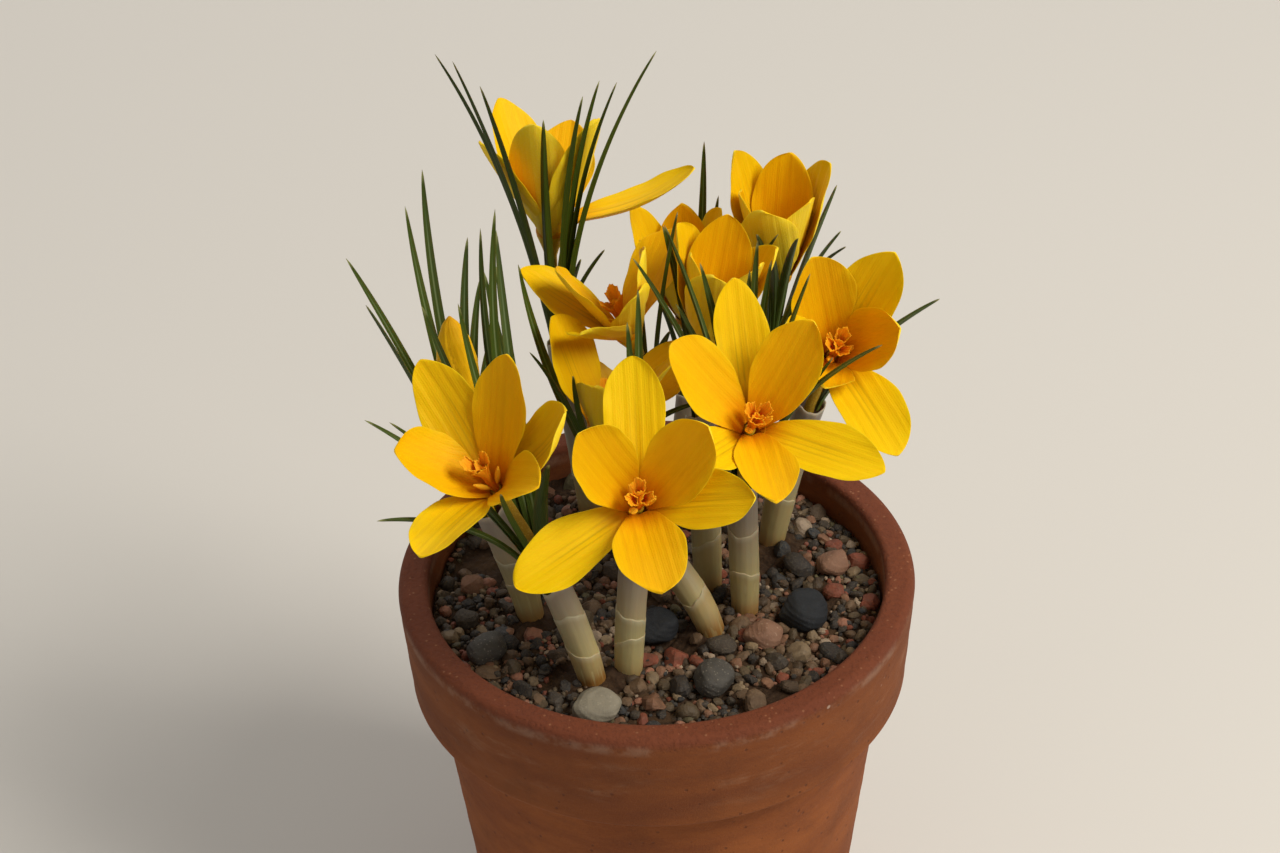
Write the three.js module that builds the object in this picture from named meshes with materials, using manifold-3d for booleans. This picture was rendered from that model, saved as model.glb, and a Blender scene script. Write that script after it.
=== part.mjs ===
// Potted celandine crocus: a clay pot of yellow crocuses in gritty potting mix.
// Millimetres, +Z up. The origin is on the pot's axis, on the flat of its foot.
// The side that faces a viewer in front of the pot is -Y, with +X on their right.

import * as THREE from 'three';
import { mergeVertices } from 'three/addons/utils/BufferGeometryUtils.js';
import Module from 'manifold-3d';

const wasm = await Module();
wasm.setup();

// Clearance between pieces that stand in or on each other
const GAP = 0.3;

// Pot
const POT_HEIGHT = 96;
const RIM_RADIUS = 52;
const RIM_WALL = 6;
const RIM_ROUND = 1.9;
const RIM_INNER_BEVEL = 1.3;
const COLLAR_BOTTOM_Z = 72.5;
const COLLAR_BOTTOM_RADIUS = 50.3;
const COLLAR_ROUND = 0.7;
const COLLAR_FILLET = 0.9;
const COLLAR_INSIDE_TAPER = 1;
const COLLAR_INSIDE_RISE = 8;
const BODY_WALL = 4.1;
const BODY_WALL_DROP = 2;
const BODY_TOP_RADIUS = 45.6;
const FOOT_RADIUS = 37;
const FOOT_ROUND = 1.2;
const FLOOR_Z = 7;
const FLOOR_RADIUS = 32.5;
const DRAIN_RADIUS = 8;
const POT_SIDES = 32;

// Potting mix, with its top dressing of grit
const MIX_TOP_Z = 89;
const MIX_RINGS = 4;
const GRIT_BUMP = 0.7;
const GRIT_STONES = 26;
const GRIT_SMALL = 2.4;
const GRIT_LARGE = 4.2;
const GRIT_SEED = 11;
const GRIT_TRIES = 4000;
const GRIT_SHEATH_ROOM = 1.6;
const GRIT_OVERLAP = 0.85;
const GRIT_LIFT = 0.2;
const STONE_ROUGH = 0.4;
const STONE_FLAT = 0.55;
const STONE_TILT = 0.6;
const PEBBLE_SINK = 0.25;

// Waves of the mix's surface: [along X, along Y, shift]
const MIX_WAVES = [[0.9, 0.35, 0], [-0.5, 1.1, 2], [1.3, -0.8, 4], [0.25, -1.6, 1]];

// Corms, buried
const CORM_RADIUS = 6.7;
const CORM_TOP_Z = 71.5;
const CORM_HEIGHT = 11;
const CORM_PROFILE = [[0, -1], [0.7, -0.9], [1, -0.2], [0.75, 0.75], [0, 1]];

// Shoots: sheath, bloom tube and the ring that the leaves grow from
const SHEATH_RADIUS = 3.6;
const SHEATH_MOUTH_RADIUS = 3.7;
const SHOOT_HOLE_RADIUS = 4.4;
const BORE_RADIUS = 3;
const BORE_DEPTH = 5;
const TUBE_RADIUS = 1.15;
const STEM_REACH = 0.35;
const RING_INNER = 1.5;
const RING_OUTER = 2.4;
const RING_HEIGHT = 2.6;
const SHOOT_SIDES = 6;

// Throat of a bloom, where the tepals leave the tube
const THROAT_RADIUS = 3.1;
const THROAT_TOP = 1.4;
const THROAT_DEPTH = 6;
const THROAT_HOLE = 1.2;
const THROAT_HOLE_DEPTH = 3;
const OUTER_ROOT_RADIUS = 2.5;
const INNER_ROOT_RADIUS = 1.6;
const TEPAL_ROOT_ANGLE = 22;
const TEPAL_FLARE = 0.3;
const PEG_RADIUS = 0.85;
const STYLE_HEIGHT = 11;
const STYLE_TOP = 4.5;
const STIGMA_SHOULDER = 7.5;
const STIGMA_RADIUS = 2.5;
const STIGMA_LOBE = 0.3;
const ANTHER_LENGTH = 7.5;
const ANTHER_LEAN = 17;
const ANTHER_BASE_Z = 2;
const ANTHER_BASE_RADIUS = 0.5;
const TEPAL_THICKNESS = 0.7;
const TEPAL_ROWS = 4;
const TEPAL_COLUMNS = 2;
const TEPAL_STEPS = 24;
const TEPAL_BASE_SHARE = 0.27;
const TEPAL_WIDEST = 0.58;
const TEPAL_BASE_CURVE = 1.2;
const TEPAL_TIP_CURVE = 2.4;
const TEPAL_TIP_ROUND = 0.62;
const TEPAL_TIP_SHARE = 0.02;
const TEPAL_ROW_BIAS = 1.15;
const TEPAL_COLUMN_BIAS = 0.9;
const TEPAL_FLATTER_TIP = 0.3;

// Core of the furled bud: [radius, height over the top of its tube]
const BUD_CORE = [[0, -4], [1.1, -4], [3, 2], [4, 12], [3, 22], [1, 27], [0, 27]];

// Leaves
const LEAF_ROOT_RADIUS = 1.75;
const LEAF_STRAIGHT = 5;
const LEAF_THICKNESS = 0.95;
const LEAF_ROWS = 3;
const LEAF_STRAIGHT_SHARE = 0.12;
const LEAF_BEND_SHARE = 0.55;
const LEAF_ROOT_SHARE = 0.6;
const LEAF_TIP_TAPER = 0.75;
const LEAF_TIP_THINNING = 0.3;

// One shoot each: foot where it leaves the mix, throat of its bloom, lean of the bloom's
// axis from upright and the way it leans (0 is +X, 90 is away from the viewer), distance
// from the sheath's mouth up to the throat.
// Tepals: [way round the bloom, opening from its axis, length, width, curl, twist, cup]
// Leaves: [way, lean from upright, length, lift of the arch, width]
const SHOOTS = [
  {
    name: '1', foot: [-13, -25.5], throat: [-30, -22, 135], lean: 28, way: 225, neck: 26,
    tepals: [
      [110, 45, 27, 12, -8, 0, 0.3], [245, 58, 25, 13, 15, 0, 0.3], [5, 52, 26, 13, -40, 0, 0.5],
      [55, 42, 27, 13, -8, 0, 0.3], [182, 30, 23, 14, -20, 0, 0.5], [325, 50, 22, 12, 20, 0, 0.4],
    ],
    leaves: [
      [170, 42, 50, 0.2, 2.2], [175, 36, 48, 0.2, 2.2], [200, 51, 42, 0.4, 2.4], [275, 8, 34, 0, 3],
      [250, 29, 45, -0.4, 1.9], [110, 18, 76, -0.4, 2.2], [115, 21, 72, -0.4, 2.2],
      [130, 24, 59, -0.2, 2.2], [135, 32, 60, -0.2, 2.2], [104, 32, 69, 1, 2.2],
      [103, 43, 63, 1.8, 2.2], [105, 48, 63, 1.8, 2.2], [130, 45, 19, 0.2, 2.2],
    ],
  },
  {
    name: '2', foot: [-6, -22.5], throat: [-3, -25, 132], lean: 38, way: 272, neck: 18,
    tepals: [
      [90, 74, 27, 12, -8, 0, 0.25], [215, 90, 27, 12, 0, 0, 0.3], [355, 55, 25, 12, 5, 0, 0.3],
      [35, 40, 25, 14, -8, 0, 0.3], [145, 32, 25, 14, -8, 0, 0.35], [280, 55, 24, 14, 5, 0, 0.3],
    ],
    leaves: [
      [345, 45, 26, 0.8, 2.2], [120, 30, 18, 0.4, 2.2], [90, 16, 48, 0, 2.2], [84, 22, 53, 0, 2.2],
    ],
  },
  {
    name: '3', foot: [17.7, -4], throat: [19, -6, 135.5], lean: 35, way: 285, neck: 17,
    tepals: [
      [100, 64, 28, 10.8, -8, 0, 0.25], [330, 65, 28, 12, 5, 0, 0.3], [222, 50, 22, 10, -8, 0, 0.3],
      [55, 36, 27, 13, -8, 0, 0.35], [152, 50, 26, 13, -8, 0, 0.3], [277, 56, 23, 12, 5, 0, 0.35],
    ],
    leaves: [
      [55, 32, 42, 1.2, 2.2], [80, 15, 43, 1.2, 2.2], [159, 13, 59, 0, 2.2],
      [157, 23, 52, -0.4, 2.2], [123, 15, 46, 0, 2.2], [130, 28, 37, 0.5, 2.2],
      [75, 16, 49, 0, 2.2], [65, 18, 45, 0, 2.2], [356, 13, 51, -0.4, 2.2], [340, 34, 47, 0, 2.2],
      [339, 26, 38, -0.8, 2],
    ],
  },
  {
    name: '4', foot: [24, 17.5], throat: [36, 14, 138], lean: 40, way: 280, neck: 17,
    tepals: [
      [60, 32, 28, 13, -8, 0, 0.35], [292, 60, 28, 13, 15, 0, 0.3], [185, 30, 22, 11, 0, 0, 0.35],
      [115, 33, 26, 14, -8, 0, 0.4], [5, 24, 22, 13, -10, 0, 0.4], [250, 32, 20, 11, -20, 0, 0.4],
    ],
    leaves: [
      [0, 44, 34, 0, 2.4], [10, 49, 17, 0.4, 2.2],
    ],
  },
  {
    name: '5', foot: [10.5, 2.7], throat: [11.5, 21.5, 138], lean: 12, way: 330, neck: 17,
    tepals: [
      [145, 20, 25, 12, -8, 0, 0.4], [255, 16, 24, 12, -8, 0, 0.4], [10, 18, 25, 12, -8, 0, 0.4],
      [90, 15, 26, 13, -8, 0, 0.4], [200, 14, 23, 12, -8, 0, 0.4], [315, 14, 25, 12, -8, 0, 0.4],
    ],
    leaves: [
      [140, 9, 43, 0.6, 2.2], [40, 25, 31, -0.4, 2.2], [28, 24, 41, 0, 2],
    ],
  },
  {
    name: '6', foot: [18, 30], throat: [26.5, 41, 139], lean: 8, way: 270, neck: 16,
    tepals: [
      [135, 18, 29, 12, -8, 0, 0.4], [15, 17, 28, 12, -8, 0, 0.4], [255, 15, 26, 12, -8, 0, 0.4],
      [75, 13, 27, 13, -8, 0, 0.4], [195, 15, 25, 12, -8, 0, 0.4], [320, 13, 25, 12, -8, 0, 0.4],
    ],
    leaves: [
      [255, 17, 36, 1.2, 2], [270, 19, 31, 0.8, 2], [285, 24, 41, 0.5, 2.2],
      [10, 18, 39, -0.4, 2.2], [355, 24, 31, 0, 2.2], [320, 29, 36, 0.4, 2.2],
    ],
  },
  {
    name: '7', foot: [-13, 29], throat: [-19, 34, 155.5], lean: 12, way: 80, neck: 23,
    tepals: [
      [130, 33, 28, 12, -8, 0, 0.4], [250, 17, 28, 12, -8, 0, 0.4], [5, 70, 30, 11, -42, 0, 0.4],
      [205, 34, 26, 12, -8, 0, 0.4], [325, 21, 29, 14, -8, 0, 0.4], [75, 44, 24, 13, -8, 0, 0.4],
    ],
    leaves: [
      [200, 16, 75, 0.6, 2.2], [205, 14, 73, 0, 2.2], [215, 12, 67, 0, 2.2], [250, 2, 54, 0, 2],
      [325, 6, 60, 0, 2.2], [340, 8, 63, 0, 2.2], [345, 11, 63, 0.6, 2.2], [340, 16, 74, -0.4, 2.2],
      [355, 20, 23, 0, 2], [75, 19, 24, 0, 2], [3, 9, 19, -0.4, 2],
    ],
  },
  {
    name: '8', foot: [-3, 18], throat: [-4, 21, 140], lean: 20, way: 190, neck: 17,
    tepals: [
      [166, 36, 24, 12, -8, 0, 0.3], [350, 24, 21, 11, -8, 0, 0.35], [255, 45, 22, 11, -10, 0, 0.35],
      [48, 70, 22, 13, -8, 0, 0.3], [310, 36, 19, 11, -10, 0, 0.35], [200, 15, 23, 12, -8, 0, 0.35],
    ],
    leaves: [
      [95, 20, 22, 0, 2], [60, 40, 14, 0.4, 2], [346, 7, 47, 0, 2],
    ],
  },
  {
    name: '9', foot: [10.8, -11.2], throat: [-10, 6, 128], lean: 15, way: 0, neck: 15,
    tepals: [
      [152, 39, 23, 15.5, -8, 0, 0.35], [245, 32, 21, 10, -8, 0, 0.4], [345, 20, 22, 11, -8, 0, 0.4],
      [35, 56, 25, 12, -8, 0, 0.3], [105, 95, 21, 12, -8, 0, 0.35], [295, 30, 22, 11, -8, 0, 0.4],
    ],
    leaves: [
      [140, 25, 51, -0.4, 2.4], [205, 21, 43, 1.2, 2.4], [225, 14, 35, 0, 2.2],
      [10, 45, 26, 0.6, 2.2],
    ],
  },
  {
    name: '10', foot: [6, 33.5], throat: [8.5, 41, 129], lean: 5, way: 180, neck: 17,
    tepals: [
      [150, 18, 27, 10, -8, 0, 0.4], [270, 15, 24, 10, -8, 0, 0.4], [30, 18, 24, 10, -8, 0, 0.4],
      [90, 15, 24, 11, -8, 0, 0.4], [210, 16, 24, 10, -8, 0, 0.4], [330, 15, 23, 10, -8, 0, 0.4],
    ],
    leaves: [
      [75, 15, 54, -0.4, 2], [60, 16, 43, -0.4, 2], [195, 15, 37, 0.6, 2.2],
    ],
  },
  {
    name: '11', foot: [-25.5, -4.5], throat: [-36, 0, 130], lean: 10, way: 120, neck: 15,
    tepals: [
      [90, 2, 26, 8, -6, 0, 0.5], [210, 2, 26, 8, -6, 0, 0.5], [330, 2, 26, 8, -6, 0, 0.5],
    ],
    leaves: [
      [155, 26, 59, 0, 2.2], [205, 20, 60, 0, 2.4], [120, 25, 62, -0.2, 2.2],
      [110, 25, 68, -0.2, 2.2], [95, 28, 53, 0, 2.2], [90, 26, 45, 0, 2.2], [83, 28, 35, 0, 2.2],
    ],
    bud: true,
  },
];

const CORMS = [
  [-9.5, -24], [14.2, -7.6], [10, 8.5], [-4.5, 17.5], [-25.5, -4.5], [-12.5, 29], [20.5, 24], [5, 32],
];

// Loose stones on the grit: [x, y, length, breadth, height, turn, colour]
const PEBBLES = [
  [-12.5, -34.5, 10, 8.5, 6, 10, 0xb5ada0],
  [0, -11.5, 10, 8.5, 7, 40, 0x2b2e33],
  [29.5, -7.5, 11, 10, 7, 70, 0x2b2e33],
  [21, -14.5, 8, 7, 6, 20, 0xa8816c],
  [11, -27, 10.5, 8.5, 6, 50, 0x55534f],
  [36, 8, 8, 6.5, 5, 30, 0xa8816c],
  [-34, -16, 9, 7.5, 5.5, 60, 0x55534f],
];

const COLOURS = {
  clay: 0x9c4f2b, mix: 0x4a3a2c, corm: 0x8a6a45, sheath: 0xb3a693,
  leaf: 0x3c5a1e, tepal: 0xf2b705, stamens: 0xf58a12,
};

// Angles are given in degrees
const rad = THREE.MathUtils.degToRad;
const vec = (x, y, z) => new THREE.Vector3(x, y, z);
const around = (way, radius = 1, z = 0) => vec(radius * Math.cos(rad(way)), radius * Math.sin(rad(way)), z);
const slanted = (way, lean, length = 1) => {
  return around(way, length * Math.sin(rad(lean)), length * Math.cos(rad(lean)));
};

// Seeded random numbers from 0 to 1
function seeded(seed) {
  let state = seed >>> 0;
  return () => {
    state = (Math.imul(state, 1664525) + 1013904223) >>> 0;
    return state / 4294967296;
  };
}

// Move every vertex of a geometry by a function of its place
function bent(geometry, place) {
  const shape = geometry.clone();
  shape.deleteAttribute('normal');
  shape.deleteAttribute('uv');
  const merged = mergeVertices(shape, 1e-4);
  const position = merged.attributes.position;
  const point = new THREE.Vector3();
  for (let i = 0; i < position.count; i += 1) {
    point.fromBufferAttribute(position, i);
    const moved = place(point.clone());
    position.setXYZ(i, moved.x, moved.y, moved.z);
  }
  return merged;
}

const asIs = (geometry) => bent(geometry, (point) => point);

function solid(geometry) {
  return new wasm.Manifold(new wasm.Mesh({
    numProp: 3,
    vertProperties: new Float32Array(geometry.attributes.position.array),
    triVerts: new Uint32Array(geometry.index.array),
  }));
}

function joined(geometries) {
  return geometries.map(solid).reduce((sum, next) => sum.add(next));
}

// One named mesh: hollows that joining sealed are filled and loose scraps dropped
function node(name, shape, colour, roughness = 0.6) {
  const largest = shape.decompose().reduce((best, next) => (next.volume() > best.volume() ? next : best));
  const mesh = largest.getMesh();
  const geometry = new THREE.BufferGeometry();
  geometry.setAttribute('position', new THREE.BufferAttribute(mesh.vertProperties, 3));
  geometry.setIndex(new THREE.BufferAttribute(mesh.triVerts, 1));
  geometry.computeVertexNormals();
  const material = new THREE.MeshStandardMaterial({ color: colour, roughness, metalness: 0 });
  const piece = new THREE.Mesh(geometry, material);
  piece.name = name;
  return piece;
}

// Lathe about +Z of points given as [radius, z]
function turned(points, sides) {
  const outline = points.map(([radius, z]) => new THREE.Vector2(radius, z));
  return new THREE.LatheGeometry(outline, sides).rotateX(Math.PI / 2);
}

const potInside = [
  [RIM_RADIUS - RIM_WALL, POT_HEIGHT - RIM_INNER_BEVEL],
  [RIM_RADIUS - RIM_WALL - COLLAR_INSIDE_TAPER, COLLAR_BOTTOM_Z + COLLAR_INSIDE_RISE],
  [BODY_TOP_RADIUS - BODY_WALL, COLLAR_BOTTOM_Z - BODY_WALL_DROP],
  [FLOOR_RADIUS, FLOOR_Z],
];

function pot() {
  const outline = [
    [DRAIN_RADIUS, 0],
    [FOOT_RADIUS - FOOT_ROUND, 0],
    [FOOT_RADIUS, FOOT_ROUND],
    [BODY_TOP_RADIUS, COLLAR_BOTTOM_Z - COLLAR_FILLET],
    [BODY_TOP_RADIUS + COLLAR_FILLET, COLLAR_BOTTOM_Z],
    [COLLAR_BOTTOM_RADIUS - COLLAR_ROUND, COLLAR_BOTTOM_Z],
    [COLLAR_BOTTOM_RADIUS, COLLAR_BOTTOM_Z + COLLAR_ROUND],
  ];
  for (const angle of [0, 45, 90]) {
    outline.push([
      RIM_RADIUS - RIM_ROUND + RIM_ROUND * Math.cos(rad(angle)),
      POT_HEIGHT - RIM_ROUND + RIM_ROUND * Math.sin(rad(angle)),
    ]);
  }
  outline.push([RIM_RADIUS - RIM_WALL + RIM_INNER_BEVEL, POT_HEIGHT]);
  outline.push(...potInside);
  outline.push([DRAIN_RADIUS, FLOOR_Z]);
  outline.push([DRAIN_RADIUS, 0]);
  return solid(asIs(turned(outline, POT_SIDES)));
}

// The room inside the pot, with a clearance to its wall, up to a height
function roomInPot(topZ) {
  const wall = potInside.map(([radius, z]) => [radius - GAP, z]);
  const [upper, lower] = wall;
  const slope = (upper[0] - lower[0]) / (upper[1] - lower[1]);
  const topRadius = lower[0] + slope * (topZ - lower[1]);
  return { topRadius, side: [[topRadius, topZ], ...wall.slice(1, 3), [FLOOR_RADIUS - GAP, FLOOR_Z + GAP]] };
}

// Height of the mix's uneven surface, from a sum of waves in several directions
function bump(x, y) {
  const sum = MIX_WAVES.reduce((total, [kx, ky, shift]) => total + Math.sin(kx * x + ky * y + shift), 0);
  return sum / MIX_WAVES.length;
}

function mixBody() {
  const { topRadius, side } = roomInPot(MIX_TOP_Z);
  const outline = [[0, FLOOR_Z + GAP], ...side.reverse()];
  for (let ring = 1; ring <= MIX_RINGS; ring += 1) {
    outline.push([topRadius * (1 - ring / MIX_RINGS), MIX_TOP_Z]);
  }
  return solid(bent(turned(outline, POT_SIDES), (point) => {
    const onTop = point.z > MIX_TOP_Z - 0.01;
    return onTop ? point.setZ(MIX_TOP_Z + GRIT_BUMP * bump(point.x, point.y)) : point;
  }));
}

const footOf = (shoot) => vec(shoot.foot[0], shoot.foot[1], MIX_TOP_Z);

// A stone: an icosahedron squashed and turned by seeded amounts
function stone(radius, random) {
  const stretch = () => 1 + STONE_ROUGH * (random() - 0.5);
  const squash = vec(stretch(), stretch(), STONE_FLAT + 0.25 * random());
  const turn = new THREE.Euler(random() * STONE_TILT, random() * STONE_TILT, random() * Math.PI * 2);
  return bent(new THREE.IcosahedronGeometry(radius, 0), (point) => point.applyEuler(turn).multiply(squash));
}

// Stones of the top dressing, clear of the shoots and the loose stones
function gritStones() {
  const random = seeded(GRIT_SEED);
  const { topRadius } = roomInPot(MIX_TOP_Z);
  const kept = [];
  const shapes = [];
  for (let tries = 0; tries < GRIT_TRIES && kept.length < GRIT_STONES; tries += 1) {
    const radius = GRIT_SMALL + (GRIT_LARGE - GRIT_SMALL) * random() ** 2;
    const place = around(360 * random(), (topRadius - radius) * Math.sqrt(random()), 0);
    const clearOfShoots = SHOOTS.every(({ foot }) => {
      return Math.hypot(place.x - foot[0], place.y - foot[1]) > radius + SHEATH_RADIUS + GRIT_SHEATH_ROOM;
    });
    const clearOfPebbles = PEBBLES.every(([x, y, length]) => {
      return Math.hypot(place.x - x, place.y - y) > radius + length / 2;
    });
    const clearOfStones = kept.every(([x, y, other]) => {
      return Math.hypot(place.x - x, place.y - y) > GRIT_OVERLAP * (radius + other);
    });
    if (clearOfShoots && clearOfPebbles && clearOfStones) {
      kept.push([place.x, place.y, radius]);
      const seat = vec(place.x, place.y, MIX_TOP_Z + GRIT_LIFT);
      shapes.push(bent(stone(radius, random), (point) => point.add(seat)));
    }
  }
  return joined(shapes);
}

// A loose stone, resting a little sunk into the grit; grown makes its seat
function pebble([x, y, length, breadth, height, turn], grown = 0) {
  return solid(bent(new THREE.IcosahedronGeometry(1, 1), (point) => {
    const wobble = 1 + 0.06 * Math.sin(3 * point.x + 2 * point.y + x) + 0.05 * Math.sin(4 * point.z + y);
    point.multiplyScalar(wobble);
    point.multiply(vec(length / 2 + grown, breadth / 2 + grown, height / 2 + grown));
    point.applyAxisAngle(vec(0, 0, 1), rad(turn));
    return point.add(vec(x, y, MIX_TOP_Z + PEBBLE_SINK * height));
  }));
}

function corm([x, y], grown = 0) {
  const outline = CORM_PROFILE.map(([radius, z]) => {
    return [radius * (CORM_RADIUS + grown), CORM_TOP_Z + z * (CORM_HEIGHT / 2 + grown) - CORM_HEIGHT / 2];
  });
  return solid(bent(turned(outline, 6), (point) => point.add(vec(x, y, 0))));
}

// Frame of a bloom: its axis, and an X and Y across it
function bloomFrame(shoot) {
  const axis = slanted(shoot.way, shoot.lean);
  const across = vec(1, 0, 0).addScaledVector(axis, -axis.x).normalize();
  const behind = new THREE.Vector3().crossVectors(axis, across);
  const throat = vec(...shoot.throat);
  const toWorld = (point) => {
    return throat.clone().addScaledVector(across, point.x).addScaledVector(behind, point.y)
      .addScaledVector(axis, point.z);
  };
  return { axis, across, behind, throat, toWorld };
}

// Mid-line of a shoot, from its foot up to the throat of its bloom
function shootPath(shoot) {
  const foot = footOf(shoot);
  const { axis, throat } = bloomFrame(shoot);
  const chord = throat.clone().sub(foot);
  const height = chord.length();
  const rise = chord.clone().normalize().add(vec(0, 0, 1)).normalize();
  const path = new THREE.CubicBezierCurve3(
    foot,
    foot.clone().addScaledVector(rise, STEM_REACH * height),
    throat.clone().addScaledVector(axis, -STEM_REACH * height),
    throat,
  );
  return { path, height, mouthAt: 1 - shoot.neck / height };
}

// A frame on the path: place, direction and two directions across it
function onPath(path, at) {
  const place = path.getPoint(at);
  const along = path.getTangent(at);
  const across = vec(1, 0, 0).addScaledVector(along, -along.x).normalize();
  const behind = new THREE.Vector3().crossVectors(along, across);
  return { place, along, across, behind };
}

// A round bar along a stretch of the path, its radius a function from 0 at the bottom to 1
function bar(path, from, to, radiusAt, rows) {
  const unit = new THREE.CylinderGeometry(1, 1, 1, SHOOT_SIDES, rows);
  return bent(unit, (point) => {
    const share = point.y + 0.5;
    const { place, across, behind } = onPath(path, from + (to - from) * share);
    const radius = radiusAt(share);
    return place.addScaledVector(across, point.z * radius).addScaledVector(behind, point.x * radius);
  });
}

// The same bar, carried straight down into the mix
function buriedBar(shoot, radius, bottomZ) {
  const foot = footOf(shoot);
  const unit = new THREE.CylinderGeometry(radius, radius, 1, SHOOT_SIDES, 1);
  return bent(unit, (point) => {
    const z = point.y > 0 ? MIX_TOP_Z + 0.4 : bottomZ;
    return vec(foot.x + point.z, foot.y + point.x, z);
  });
}

function sheath(shoot) {
  const { path, height, mouthAt } = shootPath(shoot);
  const outer = (share) => SHEATH_RADIUS + (SHEATH_MOUTH_RADIUS - SHEATH_RADIUS) * share;
  const body = joined([
    bar(path, 0, mouthAt, outer, 2),
    buriedBar(shoot, SHEATH_RADIUS, CORM_TOP_Z + GAP),
  ]);
  const boreFrom = mouthAt - BORE_DEPTH / height;
  const bore = bar(path, boreFrom, mouthAt + 1 / height, () => BORE_RADIUS, 1);
  return body.subtract(solid(bore));
}

function tepalHalfWidth(width, share) {
  if (share < TEPAL_WIDEST) {
    const swell = Math.sin(Math.PI / 2 * share / TEPAL_WIDEST) ** TEPAL_BASE_CURVE;
    return width / 2 * (TEPAL_BASE_SHARE + (1 - TEPAL_BASE_SHARE) * swell);
  }
  const rest = (share - TEPAL_WIDEST) / (1 - TEPAL_WIDEST);
  return width / 2 * Math.max(1 - rest ** TEPAL_TIP_CURVE, TEPAL_TIP_SHARE) ** TEPAL_TIP_ROUND;
}

// Mid-line of a tepal as radius and height over the throat, summed in small steps
function tepalLine(rootRadius, open, length, curl) {
  const line = [{ radius: rootRadius, z: 0, angle: TEPAL_ROOT_ANGLE }];
  for (let i = 1; i <= TEPAL_STEPS; i += 1) {
    const share = (i - 0.5) / TEPAL_STEPS;
    const flare = Math.max(1 - share / TEPAL_FLARE, 0) ** 2;
    const angle = open + (TEPAL_ROOT_ANGLE - open) * flare + curl * (share - 0.5) * (1 - flare);
    const last = line[i - 1];
    line.push({
      radius: last.radius + length / TEPAL_STEPS * Math.sin(rad(angle)),
      z: last.z + length / TEPAL_STEPS * Math.cos(rad(angle)),
      angle,
    });
  }
  return (share) => {
    const at = THREE.MathUtils.clamp(share, 0, 1) * TEPAL_STEPS;
    const low = Math.min(Math.floor(at), TEPAL_STEPS - 1);
    const mix = (key) => THREE.MathUtils.lerp(line[low][key], line[low + 1][key], at - low);
    return { radius: mix('radius'), z: mix('z'), angle: mix('angle') };
  };
}

function tepal([way, open, length, width, curl, twist, cup], rootRadius, toWorld) {
  const unit = new THREE.BoxGeometry(2, 1, 1, TEPAL_COLUMNS, TEPAL_ROWS, 1);
  const line = tepalLine(rootRadius, open, length, curl);
  return bent(unit, (point) => {
    const share = Math.sin(Math.PI / 2 * (point.y + 0.5)) ** TEPAL_ROW_BIAS;
    const { radius, z, angle } = line(share);
    const turn = rad(twist * share);
    const side = around(way - 90);
    const inward = slanted(way, angle - 90);
    const acrossBlade = side.clone().multiplyScalar(Math.cos(turn)).addScaledVector(inward, Math.sin(turn));
    const offBlade = inward.clone().multiplyScalar(Math.cos(turn)).addScaledVector(side, -Math.sin(turn));
    const half = tepalHalfWidth(width, share);
    const spread = Math.sign(point.x) * Math.abs(point.x) ** TEPAL_COLUMN_BIAS;
    const rise = cup * half * spread ** 2 * (1 - TEPAL_FLATTER_TIP * share);
    return toWorld(around(way, radius, z).addScaledVector(acrossBlade, half * spread)
      .addScaledVector(offBlade, rise + TEPAL_THICKNESS * point.z));
  });
}

// The first three tepals are the outer whorl, the other three stand inside it
function tepalsOf(shoot, toWorld) {
  return shoot.tepals.map((one, i) => tepal(one, i < 3 ? OUTER_ROOT_RADIUS : INNER_ROOT_RADIUS, toWorld));
}

function bloom(shoot) {
  const { path, height, mouthAt } = shootPath(shoot);
  const { toWorld } = bloomFrame(shoot);
  const bottom = mouthAt - (BORE_DEPTH - GAP) / height;
  const tube = bar(path, bottom, 1, () => TUBE_RADIUS, 3);
  const funnel = turned([[0, -THROAT_DEPTH], [TUBE_RADIUS * 0.9, -THROAT_DEPTH], [THROAT_RADIUS, 0],
    [THROAT_RADIUS, THROAT_TOP], [0, THROAT_TOP]], SHOOT_SIDES);
  const hole = turned([[0, THROAT_TOP - THROAT_HOLE_DEPTH], [THROAT_HOLE, THROAT_TOP - THROAT_HOLE_DEPTH],
    [THROAT_HOLE, 6], [0, 6]], SHOOT_SIDES);
  const tepals = tepalsOf(shoot, toWorld);
  return joined([tube, bent(funnel, toWorld), ...tepals]).subtract(solid(bent(hole, toWorld)));
}

// Three furled tepals round a slim core
function bud(shoot) {
  const { path, height, mouthAt } = shootPath(shoot);
  const { toWorld } = bloomFrame(shoot);
  const bottom = mouthAt - (BORE_DEPTH - GAP) / height;
  const tube = bar(path, bottom, 1, () => TUBE_RADIUS, 3);
  return joined([tube, bent(turned(BUD_CORE, SHOOT_SIDES), toWorld), ...tepalsOf(shoot, toWorld)]);
}

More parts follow.
